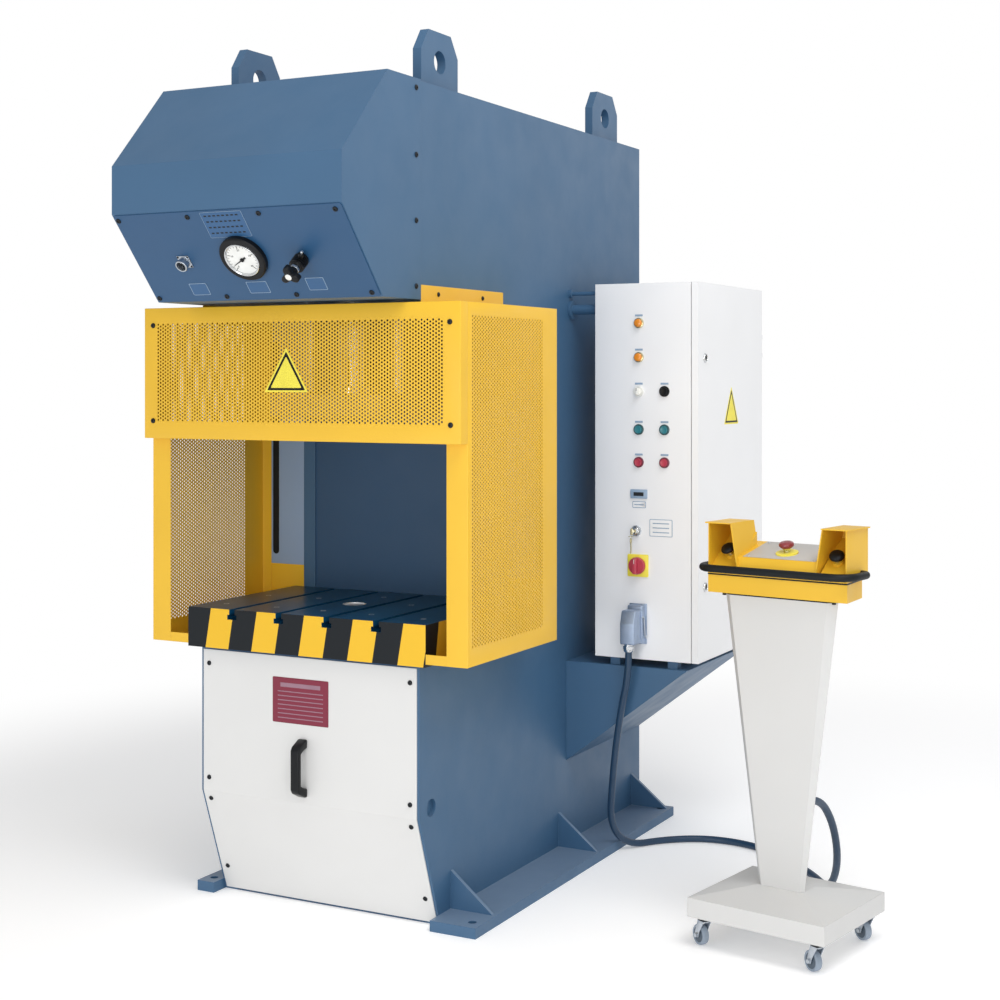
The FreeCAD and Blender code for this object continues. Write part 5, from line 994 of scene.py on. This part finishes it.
    def screws(self):
        places = [on_panel(x, up) for x in PANEL_SCREWS_X for up in PANEL_SCREWS_UP]
        places += [place((side * COVER_SIDE, COVER_SCREWS_Y, z), side * Y)
                   for z in COVER_SCREWS_Z for side in (1, -1)]
        heads = set_out(button_head(Matrix(), size("screw_head")), places)
        done(coated("black steel", *heads), "head_screw_heads")


# ---- lower cover and table

COVER_SCREWS = ((-314.0, 637.0), (314.0, 637.0), (-314.0, 330.0), (314.0, 330.0))
COVER_BEND, COVER_LEAN = 294.0, 0.357        # below the bend the cover leans back
LEANING_SCREWS = ((-313.0, -23.0), (313.0, -23.0), (-312.0, -236.0), (312.0, -236.0))
COVER_SIGN = (-106.0, 69.0, 500.0, 619.0)
SIGN_RULES, RULE_PITCH, RULE_INSET = 7, 11.5, 14
RULE_RISE, HEADING_RISE = 2.5, 11
HANDLE_X, HANDLE_LOW, HANDLE_HIGH, HANDLE_REACH = -9.0, 313.0, 463.0, 42.0
TABLE_TOP = 788.0
TABLE_SCREWS = ((0, -636), (0, -332), (150, -636), (150, -434), (-150, -636), (-150, -434),
                (311, -643), (311, -449), (-311, -643), (-311, -449))
TABLE_BORE = (0.0, -484.0)


class PRESS_OT_front(bpy.types.Operator):
    """Fit the lower cover's handle, sign and screws, and the table's screws"""
    bl_idname = "press.front"
    bl_label = "Lower cover and table"

    def execute(self, context):
        face = place((0, COVER_FACE, 0))
        leaning = place((0, COVER_FACE, COVER_BEND), X, Vector((0, -COVER_LEAN, 1)))
        spots = [face @ shift(x, z, 0) for x, z in COVER_SCREWS]
        spots += [leaning @ shift(x, up, 0) for x, up in LEANING_SCREWS]
        heads = set_out(button_head(Matrix(), 13), spots)
        done(coated("black steel", *heads), "cover_screw_heads")

        sign = edged_plate(*COVER_SIGN, face, "sign", "sign", 2)
        x0, x1, z0, z1 = COVER_SIGN
        rules = [(z0 + 12 + RULE_PITCH * row, RULE_RISE) for row in range(SIGN_RULES)]
        for z, rise in rules + [(z1 - 25, HEADING_RISE)]:
            inset = RULE_INSET + rise
            rule = block((x0 + inset, z, 0.8), (x1 - inset, z + rise, 0.95), face)
            sign.append(painted(rule, "rule"))
        done(sign, "cover_sign")

        middle = (HANDLE_LOW + HANDLE_HIGH) / 2
        half = (HANDLE_HIGH - HANDLE_LOW) / 2
        bow = [(-half, 0), (-half, 8), (-half + 14, HANDLE_REACH - 6), (-half + 24, HANDLE_REACH),
               (half - 24, HANDLE_REACH), (half - 14, HANDLE_REACH - 6), (half, 8), (half, 0),
               (half - 22, 0), (half - 26, 14), (half - 34, HANDLE_REACH - 14),
               (-half + 34, HANDLE_REACH - 14), (-half + 26, 14), (-half + 22, 0)]
        grip = settle(soften(cut_plate(bow, 26, low=-13), 3.5, 3, 30),
                      place((HANDLE_X, COVER_FACE, middle), Z, -Y))
        done([painted(grip, "black")], "cover_bridge_handle",
             stands_for="cover_handle")

        top = [turned([(8.5, -6), (8.5, -0.6), (7.6, 0.1), (4.5, 0.1), (4.2, -4)],
                      shift(x, y, TABLE_TOP), 24) for x, y in TABLE_SCREWS]
        rim = turned([(33, -3), (33, 0.1), (30, 0.1), (29, -4), (11, -4), (9, -7)],
                     shift(*TABLE_BORE, TABLE_TOP), 48)
        done(coated("spot steel", *top, rim), "table_screw_heads")
        return {"FINISHED"}


# ---- cabinet

def cabinet_height(share):
    """Height on the cabinet, from a share of its own height."""
    low, high = node_side("cabinet_door", 2, 0), node_side("cabinet_door", 2, 1)
    return low + share * (high - low)


BUTTONS = (("black_button", 651, 0.7125, "black"), ("green_button_left", 571, 0.611, "green"),
           ("green_button_right", 651, 0.611, "green"), ("red_button_left", 571, 0.524, "red"),
           ("red_button_right", 651, 0.524, "red"))
LIGHTS = ((571, 0.894), (571, 0.803))
SELECTOR = (571, 0.7125)
KEY_SPOT = (563, 0.341)
METER = (572, 0.4395, 52, 26)
LABELS = ((572, 0.411, 42, 19), (640, 0.351, 71, 50))
ISOLATOR = (569, 0.249)
LOCKS = (("door_lock_lower", 0.196), ("door_lock_upper", 0.801))
LOCK_Y = 204.0
DOOR_SIGN = (427.0, 1266.0, 62.0, 112.0)
RULE_SPACING = 13
STRIP = ((-12, 19.5, 0), (12, 25, 0.5))      # plain label above a device


def device_spot(x, share):
    return on_front(x, cabinet_height(share))


def device_holder(at):
    """Contact block behind the door or the cabinet's front."""
    return painted(block((-14, -14, -48), (14, 14, -16), at, 1.5), "black")


class PRESS_OT_devices(bpy.types.Operator):
    """Fit the lights, buttons, switches and plates of the cabinet's front and door"""
    bl_idname = "press.devices"
    bl_label = "Cabinet devices"

    def execute(self, context):
        for build in (self.rings, self.buttons, self.lights, self.selector, self.key,
                      self.plates, self.isolator, self.door):
            build()
        return {"FINISHED"}

    def rings(self):
        spots = [row[1:] for row in BUTTONS] + [(*SELECTOR, "white"), (*KEY_SPOT, "zinc")]
        parts = []
        for x, share, finish in spots:
            at = device_spot(x, share)
            ring = turned([(15.6, 0), (15.6, 4), (14.8, 5.6), (13, 6), (12, 5.6), (11.8, 0)], at, 40)
            sleeve = turned([(11.8, -16), (12.9, -16), (12.9, 0), (11.8, 0)], at, 24)
            shade = {"green": "dark green", "red": "dark red"}.get(finish, finish)
            parts += [painted(ring, shade), painted(sleeve, "grey"), device_holder(at)]
        done(parts, "device_rings", stands_for="device_bezels")

    def buttons(self):
        for name, x, share, finish in BUTTONS:
            cap = turned([(11.4, -11), (11.4, 7.6), (10.6, 8.7), (9.4, 9), (8.6, 8.2), (4, 7.6)],
                         device_spot(x, share), 40)
            moving([painted(cap, finish)], name + "_cap", finish + "_plastic", name)

    def lights(self):
        parts = []
        for spot in LIGHTS:
            at = device_spot(*spot)
            ring = turned([(15, 0), (15, 4), (14.2, 5.6), (12.2, 6), (11.8, 4)], at, 40)
            lens = turned([(11.8, 3), (11.8, 9), (11, 11), (8.6, 12.6), (4, 13.2)], at, 40)
            barrel = turned([(11.5, -16), (11.5, 0)], at, 24)
            parts += [painted(ring, "brass"), painted(lens, "amber"), device_holder(at),
                      painted(barrel, "grey")]
        done(parts, "pilot_light_lenses", stands_for="pilot_lights")

    def selector(self):
        at = device_spot(*SELECTOR)
        core = turned([(11.4, -11), (11.4, 8), (10.6, 9), (5, 9.2)], at, 40)
        grip = cut_plate(corners(-3.6, 3.6, -10.6, 10.6), 12, at, 8.6, radius=3, edge=1.2)
        mark = block((-0.8, 1, 20.5), (0.8, 9.6, 20.9), at)
        moving(coated("white", core, grip) + coated("black", mark), "selector_grip",
               "white_plastic", "mode_selector")

    def key(self):
        at = device_spot(*KEY_SPOT)
        core = turned([(11.4, -11), (11.4, 8), (10.4, 9), (8.2, 9.2), (8.2, 18), (7.4, 19),
                       (2, 19)], at, 40)
        parts = [painted(core, "chrome")]
        flat = at @ rotated(90, "Y")
        blade = cut_plate(corners(-43, -19, -3.4, 3.4), 2, flat, -1, edge=0.3)
        bow = cut_plate(corners(-43, -26, -10, 10), 2.4, flat, -1.2, radius=7, edge=0.5)
        ring = turned([(6.2, -0.6), (7.6, -0.6), (7.6, 0.6), (6.2, 0.6)], sides=28)
        ring = settle(settle(ring, shift(-40, -13) @ rotated(90, "X")), flat)
        spare_bow = cut_plate(corners(-46, -34, -34, -17), 2, flat, -1, radius=5, edge=0.4)
        spare = cut_plate(corners(-43, -37, -62, -34), 1.6, flat, -0.8)
        parts += coated("brass", blade, bow, ring, spare_bow, spare)
        moving(parts, "key_and_barrel", "zinc_plate", "key_switch")

    def plates(self):
        parts = []
        x, share, width, height = METER
        at = device_spot(x, share)
        meter = cut_plate(corners(-width / 2, width / 2, -height / 2, height / 2), 5, at, edge=1)
        window = block((-width * 0.3, -height * 0.22, 5), (width * 0.3, height * 0.2, 5.3), at)
        parts += coated("foil", meter) + coated("dark", window)
        for x, share, width, height in LABELS:
            at = device_spot(x, share)
            parts += edged_plate(-width / 2, width / 2, -height / 2, height / 2, at,
                                 "cabinet", "foil", 1.8)
            rows = 3 if height > 30 else 1
            for row in range(rows):
                up = (row - (rows - 1) / 2) * RULE_SPACING
                rule = block((-width * 0.36, up - 1.4, 0.8), (width * 0.36, up + 1.4, 0.9), at)
                parts.append(painted(rule, "foil"))
        for spot in [row[1:3] for row in BUTTONS] + [*LIGHTS, SELECTOR]:
            parts.append(painted(block(*STRIP, device_spot(*spot)), "foil"))
        at = device_spot(*ISOLATOR)
        backing = turned([(6, 0), (6, 4)], at, 24)
        square = cut_plate(corners(-32.5, 32.5, -32.5, 32.5), 4, at, radius=4, edge=0.8)
        parts += coated("black", backing) + coated("yellow plate", square)
        done(parts, "cabinet_plates", stands_for="device_plates")

    def isolator(self):
        at = device_spot(*ISOLATOR)
        disc = turned([(5, -24), (5, 4.2), (24, 4.4), (25, 6), (25, 15), (23, 18), (19, 18.2)], at, 56)
        grip = cut_plate(corners(-6, 6, -22.5, 22.5), 18, at, 16, radius=5, edge=2, segments=3)
        mark = block((-0.8, 8, 33.8), (0.8, 20, 34.2), at)
        moving(coated("red", disc, grip) + coated("white", mark), "isolator_grip", "red_plastic",
               "isolator_knob")

    def door(self):
        for name, share in LOCKS:
            at = place((DOOR_FACE, LOCK_Y, cabinet_height(share)), Y)
            rim = turned([(10, -22), (10, 0), (13.5, 0), (13.5, 2.6), (12.4, 4.4), (9.6, 5),
                          (8.8, 3.4), (8.8, 1.6), (2, 1.6)], at, 40)
            wing = cut_plate(corners(-1.6, 1.6, -8.6, 8.6), 3, at, 1.5, edge=0.4)
            cam = cut_plate(corners(-7, 7, -7, 44), 3, at, -28.5, edge=0.6)
            parts = coated("chrome", rim) + coated("black", wing) + coated("zinc", cam)
            moving(parts, name + "_head", "zinc_plate", name)
        middle, base, half, height = DOOR_SIGN
        at = place((DOOR_FACE, middle, base), Y)
        done(bare_triangle(at, half, height), "door_blank_plate", "cabinet_door")


# ---- plug connector

PLUG_X, PLUG_HALF = 570.0, 24.0
PLUG_LOW, PLUG_HIGH = 636.0, 746.0
PLUG_BASE, PLUG_REACH = 122.0, 64.0      # y of the base's face and of the hood's face
LEVER_PIVOT = (136.0, 655.0)             # y and z


def drawn_tube(start, heading, diameter, moves, sides=24):
    """Round bar drawn along runs and bends; a bend is (radius, degrees, axis), a run is a length."""
    tip, heading = Vector(start) * MM, Vector(heading).normalized()
    piece = added(bpy.ops.mesh.primitive_circle_add, vertices=sides, radius=diameter / 2 * MM,
                  location=tip, rotation=heading.to_track_quat("Z", "Y").to_euler())
    edit_all()
    for move in moves:
        if isinstance(move, tuple):
            radius, degrees, axis = move
            axis = Vector(axis)
            centre = tip + axis.cross(heading) * radius * MM
            bpy.ops.mesh.spin(steps=8, angle=-math.radians(degrees), center=centre, axis=axis)
            turn = Matrix.Rotation(math.radians(degrees), 3, axis)
            tip, heading = centre + turn @ (tip - centre), turn @ heading
        else:
            draw_out(heading * move * MM)
            tip = tip + heading * move * MM
    bpy.ops.mesh.select_all(action="SELECT")
    bpy.ops.mesh.fill_holes(sides=0)
    leave_edit()
    return settle(face_out(piece))


class PRESS_OT_connector(bpy.types.Operator):
    """Fit the die-cast plug connector under the isolator"""
    bl_idname = "press.connector"
    bl_label = "Plug connector"

    def execute(self, context):
        side = place((PLUG_X, 0, 0), Y)
        back, front = PLUG_BASE, PLUG_REACH
        base = block((PLUG_X - PLUG_HALF, back, PLUG_LOW), (PLUG_X + PLUG_HALF, CABINET_FRONT, PLUG_HIGH),
                     edge=4, segments=3)
        flange = block((PLUG_X - 27, CABINET_FRONT - 5, PLUG_LOW - 3),
                       (PLUG_X + 27, CABINET_FRONT, PLUG_HIGH + 3), edge=1.5, segments=2)
        bolts = [button_head(on_front(PLUG_X + x, z, 5), 7)
                 for x in (-21, 21) for z in (PLUG_LOW + 4, PLUG_HIGH - 4)]
        done(coated("die cast", base, flange) + coated("zinc", *bolts), "connector_housing",
             stands_for="connector_base")

        high = PLUG_HIGH - 10
        outline = [(back, PLUG_LOW + 4), (front, PLUG_LOW + 4), (front, high - 36),
                   (front + 12, high), (back, high)]
        hood = settle(soften(cut_plate(outline, 44, low=-22, radius=4), 3.5, 3, 30), side)
        rib = cut_plate(corners(back + 0.5, back - 6, PLUG_LOW + 12, high - 4), 50, side, -25, edge=1.5)
        gland_x, gland_y, gland_z = (value / MM for value in CABLE_POINTS[0])
        under = shift(gland_x, gland_y, gland_z)
        collar = turned([(10.3, 0), (13, 2), (15, 5), (15, 8), (13, 9), (13, 27)], under, 32)
        nut = turned([(15.5, 9), (15.5, 18), (14.5, 19)], under, 6)
        done(coated("die cast", hood, rib) + coated("chrome", collar, nut), "connector_shell",
             stands_for="connector_hood")

        y, z = LEVER_PIVOT
        edge = PLUG_X + PLUG_HALF + 2.2
        wire = drawn_tube((edge, y, z), (0, -0.16, 0.987), 4, [54, (8, 90, (1, 0, 0)), 8])
        pivot = turned([(3, -6), (3, 2.6), (5, 2.8), (5, 4.4), (4, 5)],
                       place((edge, y, z), Y), 20)
        moving(coated("zinc", wire, pivot), "connector_clip", "zinc_plate", "connector_lever")
        return {"FINISHED"}


# ---- two-hand pedestal

DESK_FRONT, DESK_LOW = -45.0, 957.0        # y and z of the desk's front edge
DESK_REAR, DESK_HIGH = 92.0, 985.0
DESK_TILT = math.atan2(DESK_HIGH - DESK_LOW, DESK_REAR - DESK_FRONT)
# Heights of the black strips that paint the shadow lines at the pan's and column's seams
PAN_SHADOW_LINE, COLUMN_SHADOW_LINE = 909, 861
PAN_FEET_X, PAN_FEET_Y, PAN_FEET_Z = (-150, 150), (-44, 44), 858.5
PALM_SEAT = (-146.0, -12.0, 955.0)
PALM_PITCH, PALM_SPLAY = 37.0, 7.0
STOP_Y = 5.0
RAIL_HEIGHT, RAIL_HALF, RAIL_FRONT, RAIL_ROOT = 928.0, 208.0, -88.0, 25.0
RAIL_BEND, RAIL_ROOT_BEND, RAIL_DIA = 50.0, 18.0, 19.0
RAIL_WALL = 187.5
PAN_OUTLINE = ((190.8, -56.8), (173.8, 63.6), (96.4, 150.8))
COLUMN_OUTLINE = ((134.0, -49.5), (155.5, -28.0), (93.5, 106.5))
CASTER_PLACES = (("front_left", -153, -137), ("front_right", 153, -137),
                 ("rear_left", -153, 137), ("rear_right", 153, 137))
CASTER_HEADING, CASTER_TRAIL, WHEEL_RADIUS, FORK_HALF = 154.0, 17.0, 25.0, 13.0
FORK_WALL = 2.5


def mushroom(at, stem, head, finish, *names):
    """A button with a wide head on a bright stem."""
    stem, head = turned(stem, at, 32), turned(head, at, 48)
    moving(coated("chrome", stem) + coated(finish, head), *names)


def along(point, direction):
    """Frame whose local Z follows a direction from a point of the pedestal."""
    turn = Vector(direction).to_track_quat("Z", "Y").to_matrix().to_4x4()
    return PEDESTAL @ shift(*point) @ turn


class PRESS_OT_console(bpy.types.Operator):
    """Fit the console's desk plate, push rail, palm buttons and stop button"""
    bl_idname = "press.console"
    bl_label = "Two-hand console"

    def execute(self, context):
        for build in (self.desk, self.shadow_strips, self.rail, self.palm_buttons, self.stop_button):
            build()
        return {"FINISHED"}

    def desk(self):
        at = PEDESTAL @ shift(0, DESK_FRONT, DESK_LOW) @ Matrix.Rotation(DESK_TILT, 4, "X")
        plate = cut_plate(corners(-99, 99, 3, 137), 1.0, edge=0.3)
        ring = turned([(28, 0), (28, 4.4), (26.5, 5), (12, 5)], shift(0, STOP_Y - DESK_FRONT), 56)
        screws = set_out(button_head(Matrix(), 6),
                         [shift(x, y, 1) for x in (-88, 88) for y in (12, 126)])
        parts = coated("desk", plate) + coated("yellow plate", ring) + coated("zinc", *screws)
        feet = [turned([(5, 0), (5, 5), (4, 6)], PEDESTAL @ shift(x, y, PAN_FEET_Z), 16)
                for x in PAN_FEET_X for y in PAN_FEET_Y]
        parts = [settle(part, at) for part in parts] + coated("black steel", *feet)
        done(parts, "console_desk_plate")

    # Black strips along the pan's and column's seams: painted shadow in the gaps
    def shadow_strips(self):
        parts = []
        for outline, low in ((PAN_OUTLINE, PAN_SHADOW_LINE), (COLUMN_OUTLINE, COLUMN_SHADOW_LINE)):
            strip = cut_plate([(x * side, y) for side in (1, -1)
                               for x, y in (outline if side > 0 else outline[::-1])],
                              3.5, PEDESTAL, low)
            parts.append(painted(strip, "rail"))
        done(parts, "console_gaskets")

    def rail(self):
        half = [RAIL_HALF - RAIL_WALL - RAIL_ROOT_BEND, (RAIL_ROOT_BEND, 90, (0, 0, 1)),
                RAIL_ROOT - RAIL_FRONT - RAIL_ROOT_BEND - RAIL_BEND, (RAIL_BEND, 90, (0, 0, 1))]
        moves = half + [2 * (RAIL_HALF - RAIL_BEND)] + half[::-1]
        tube = drawn_tube((-RAIL_WALL, RAIL_ROOT, RAIL_HEIGHT), (-1, 0, 0), RAIL_DIA, moves)
        done([painted(settle(tube, PEDESTAL), "rail")], "push_rail_sleeve",
             stands_for="push_rail")

    def palm_buttons(self):
        pitch, splay = math.radians(PALM_PITCH), math.radians(PALM_SPLAY)
        for side, name in ((1, "left"), (-1, "right")):
            x, y, z = PALM_SEAT
            at = along((x * side, y, z), (-math.sin(splay) * side,
                                          -math.sin(pitch) * math.cos(splay),
                                          math.cos(pitch) * math.cos(splay)))
            body = "palm_button_" + name
            mushroom(at, [(7.5, -19), (7.5, 13.8), (9, 14.4), (9, 20)],
                     [(10, 16), (15, 19), (18.6, 21.5), (19, 24), (18.2, 27.5), (15.5, 30.4),
                      (10.5, 32), (5, 32.6)], "black", body + "_mushroom", "black_plastic", body)

    def stop_button(self):
        z = DESK_LOW + (STOP_Y - DESK_FRONT) * math.tan(DESK_TILT)
        at = along((0, STOP_Y, z), (0, -math.sin(DESK_TILT), math.cos(DESK_TILT)))
        mushroom(at, [(8, -9), (8, 10), (9.5, 11), (11, 17)],
                 [(12, 15), (16.5, 18), (18.8, 21), (19, 24.5), (17.6, 28), (14.2, 30.2),
                  (9, 31.2), (4, 31.5)], "stop red", "stop_mushroom", "red_plastic", "stop_button")


class PRESS_OT_casters(bpy.types.Operator):
    """Fit the pedestal's four swivel casters"""
    bl_idname = "press.casters"
    bl_label = "Casters"

    def execute(self, context):
        for name, x, y in CASTER_PLACES:
            at = PEDESTAL @ shift(x, y) @ rotated(CASTER_HEADING)
            self.fork("caster_fork_" + name, at)
            self.wheel("caster_wheel_" + name, at)
        return {"FINISHED"}

    def fork(self, body, at):
        axle = shift(CASTER_TRAIL, 0, WHEEL_RADIUS)
        outline = [(-12, 64), (13, 64), (24, 31), (24, 20), (11, 19), (8, 30)]
        legs = []
        for low in (-FORK_HALF, FORK_HALF - FORK_WALL):
            legs.append(cut_plate(outline, FORK_WALL, rotated(90, "X"), low, radius=4, edge=0.6))
        crown = block((-14, -FORK_HALF, 62), (14, FORK_HALF, 65), edge=1.0, segments=2)
        head = turned([(15, 65), (17, 66.5), (17, 69), (14, 70.5), (6, 71), (6, 74)], sides=36)
        nuts = [turned([(6, 0), (6, 4), (5, 5)], axle @ rotated(turn, "X")
                       @ shift(0, 0, FORK_HALF), 6) for turn in (90, -90)]
        parts = coated("zinc", *legs, crown, *nuts) + coated("black steel", head)
        moving([settle(part, at) for part in parts], body + "_frame", "zinc_plate", body)

    def wheel(self, body, at):
        across = shift(CASTER_TRAIL, 0, WHEEL_RADIUS) @ rotated(90, "X")
        tyre = turned([(19, -8), (22.5, -9), (24.3, -8), (25, -5.5), (25, 5.5), (24.3, 8), (22.5, 9),
                       (19, 8)], across, 48)
        hub = turned([(5, -10), (7.5, -10), (8, -8.4), (18.9, -8.2), (18.9, 8.2), (8, 8.4),
                      (7.5, 10), (5, 10)], across, 40)
        parts = coated("wheel", settle(tyre, at)) + coated("hub", settle(hub, at))
        moving(parts, body + "_tyre", "wheel_rubber", body)


# ---- stage

CAMERA_PLACE = Vector((2.4487, -4.2945, 1.4025))
CAMERA_TURN = 27.7
CAMERA_LENS = 59.58
HORIZON_SHIFT = -0.1216
FLOOR_SIZE = 60
FADE_SHIFT = (-0.4, -0.2, 0)           # puts the middle of the fade under the object
FLOOR_GREY, FLOOR_LIFT = (0.93, 0.93, 0.935), 0.2
NEAR_FLOOR, FAR_FLOOR = 1.9, 3.4      # metres from the object
LAMPS = (                             # name, place, aim, watts, metres across
    ("key_lamp", (3.6, -5.0, 2.2), (0.5, -0.2, 0.9), 63, 4.0),
    ("front_lamp", (0.4, -5.6, 0.6), (0.2, -0.3, 0.7), 60, 2.0),
    ("top_lamp", (2.6, -1.8, 4.6), (0.9, -0.4, 0.0), 85, 2.5),
    ("back_lamp", (2.0, 5.0, 4.0), (0.6, 0.0, 1.0), 30, 4.0),
)
SKY_LIGHT, SKY_SEEN = 0.59, 1.0       # what the sky gives the object, and the picture


def soft_lamp(name, at, aim, power, width):
    lamp = added(bpy.ops.object.light_add, type="AREA", location=at)
    lamp.name = name
    lamp.data.shape = "DISK"
    lamp.data.size = width
    lamp.data.energy = power
    lamp.rotation_euler = (Vector(aim) - Vector(at)).to_track_quat("-Z", "Y").to_euler()


def floor_paint():
    """Pale floor that takes the object's shadow, and turns to plain white further out."""
    finish, tree, shader = new_finish("pale_floor_paint", FLOOR_GREY, roughness=0.9,
                                      specular_ior_level=0.1)
    centred = add_node(tree, "ShaderNodeMapping", {0: object_point(tree), 1: FADE_SHIFT})
    reach = add_node(tree, "ShaderNodeVectorMath", {0: centred.outputs[0]}, operation="LENGTH")
    far = add_node(tree, "ShaderNodeMapRange",
                   {0: reach.outputs["Value"], 1: NEAR_FLOOR, 2: FAR_FLOOR},
                   interpolation_type="SMOOTHSTEP").outputs[0]
    white = add_node(tree, "ShaderNodeEmission", {0: (1, 1, 1, 1), 1: 1.0})
    lift = add_node(tree, "ShaderNodeEmission", {0: (1, 1, 1, 1), 1: FLOOR_LIFT})
    near = add_node(tree, "ShaderNodeAddShader", {0: shader.outputs[0], 1: lift.outputs[0]})
    blend = add_node(tree, "ShaderNodeMixShader",
                     {0: far, 1: near.outputs[0], 2: white.outputs[0]})
    tree.links.new(blend.outputs[0], tree.nodes["Material Output"].inputs["Surface"])
    return finish


class PRESS_OT_stage(bpy.types.Operator):
    """Set up the floor, the soft studio light and the camera"""
    bl_idname = "press.stage"
    bl_label = "Stage"

    def execute(self, context):
        floor = added(bpy.ops.mesh.primitive_plane_add, size=FLOOR_SIZE)
        floor.name = "pale_floor"
        FINISH["floor"] = floor_paint()
        painted(floor, "floor")

        for lamp in LAMPS:
            soft_lamp(*lamp)

        world = context.scene.world or bpy.data.worlds.new("studio")
        context.scene.world = world
        world.use_nodes = True
        tree = world.node_tree
        tree.nodes.clear()
        seen = add_node(tree, "ShaderNodeLightPath").outputs
        strength = add_node(tree, "ShaderNodeMapRange",
                            {0: seen["Is Camera Ray"], 3: SKY_LIGHT, 4: SKY_SEEN}).outputs[0]
        sky = add_node(tree, "ShaderNodeBackground", {"Color": (1, 1, 1, 1), "Strength": strength})
        add_node(tree, "ShaderNodeOutputWorld", {"Surface": sky.outputs[0]})

        camera = added(bpy.ops.object.camera_add, location=CAMERA_PLACE,
                       rotation=(math.radians(90), 0, math.radians(CAMERA_TURN)))
        camera.data.sensor_width = 36
        camera.data.lens = CAMERA_LENS
        camera.data.shift_y = HORIZON_SHIFT
        camera.data.clip_end = 100
        context.scene.camera = camera
        context.scene.view_settings.view_transform = "Standard"
        return {"FINISHED"}


class PRESS_OT_finishes(bpy.types.Operator):
    """Mix the finishes and give each carried-over node its own"""
    bl_idname = "press.finishes"
    bl_label = "Finishes"

    def execute(self, context):
        mix_finishes()
        for finish, nodes in CARRIED_OVER.items():
            for name in nodes:
                painted(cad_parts[name], finish)
        for name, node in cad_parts.items():
            if name.startswith("caster_fork"):
                painted(node, "zinc")
            if name.startswith("caster_wheel"):
                painted(node, "wheel")
        return {"FINISHED"}


OPERATORS = (
    PRESS_OT_finishes, PRESS_OT_guard, PRESS_OT_panel, PRESS_OT_front, PRESS_OT_devices,
    PRESS_OT_connector, PRESS_OT_console, PRESS_OT_casters, PRESS_OT_control_cable, PRESS_OT_stage,
)


class PRESS_PT_sidebar(bpy.types.Panel):
    """Lists the press's pieces, colours and sizes"""
    bl_idname = "PRESS_PT_sidebar"
    bl_label = "Hydraulic press"
    bl_space_type = "VIEW_3D"
    bl_region_type = "UI"
    bl_category = "Press"

    def draw(self, context):
        for group in (context.scene.press_colours, context.scene.press_sizes):
            for name in group.__annotations__:
                self.layout.prop(group, name)
        for operator in OPERATORS:
            self.layout.operator(operator.bl_idname)


CLASSES = (PressColours, PressSizes, *OPERATORS, PRESS_PT_sidebar)


def register():
    for one in CLASSES:
        bpy.utils.register_class(one)
    bpy.types.Scene.press_colours = bpy.props.PointerProperty(type=PressColours)
    bpy.types.Scene.press_sizes = bpy.props.PointerProperty(type=PressSizes)


def unregister():
    del bpy.types.Scene.press_sizes
    del bpy.types.Scene.press_colours
    for one in reversed(CLASSES):
        bpy.utils.unregister_class(one)


def main():
    register()
    for operator in OPERATORS:
        group, name = operator.bl_idname.split(".")
        getattr(getattr(bpy.ops, group), name)()


if __name__ == "__main__":
    main()
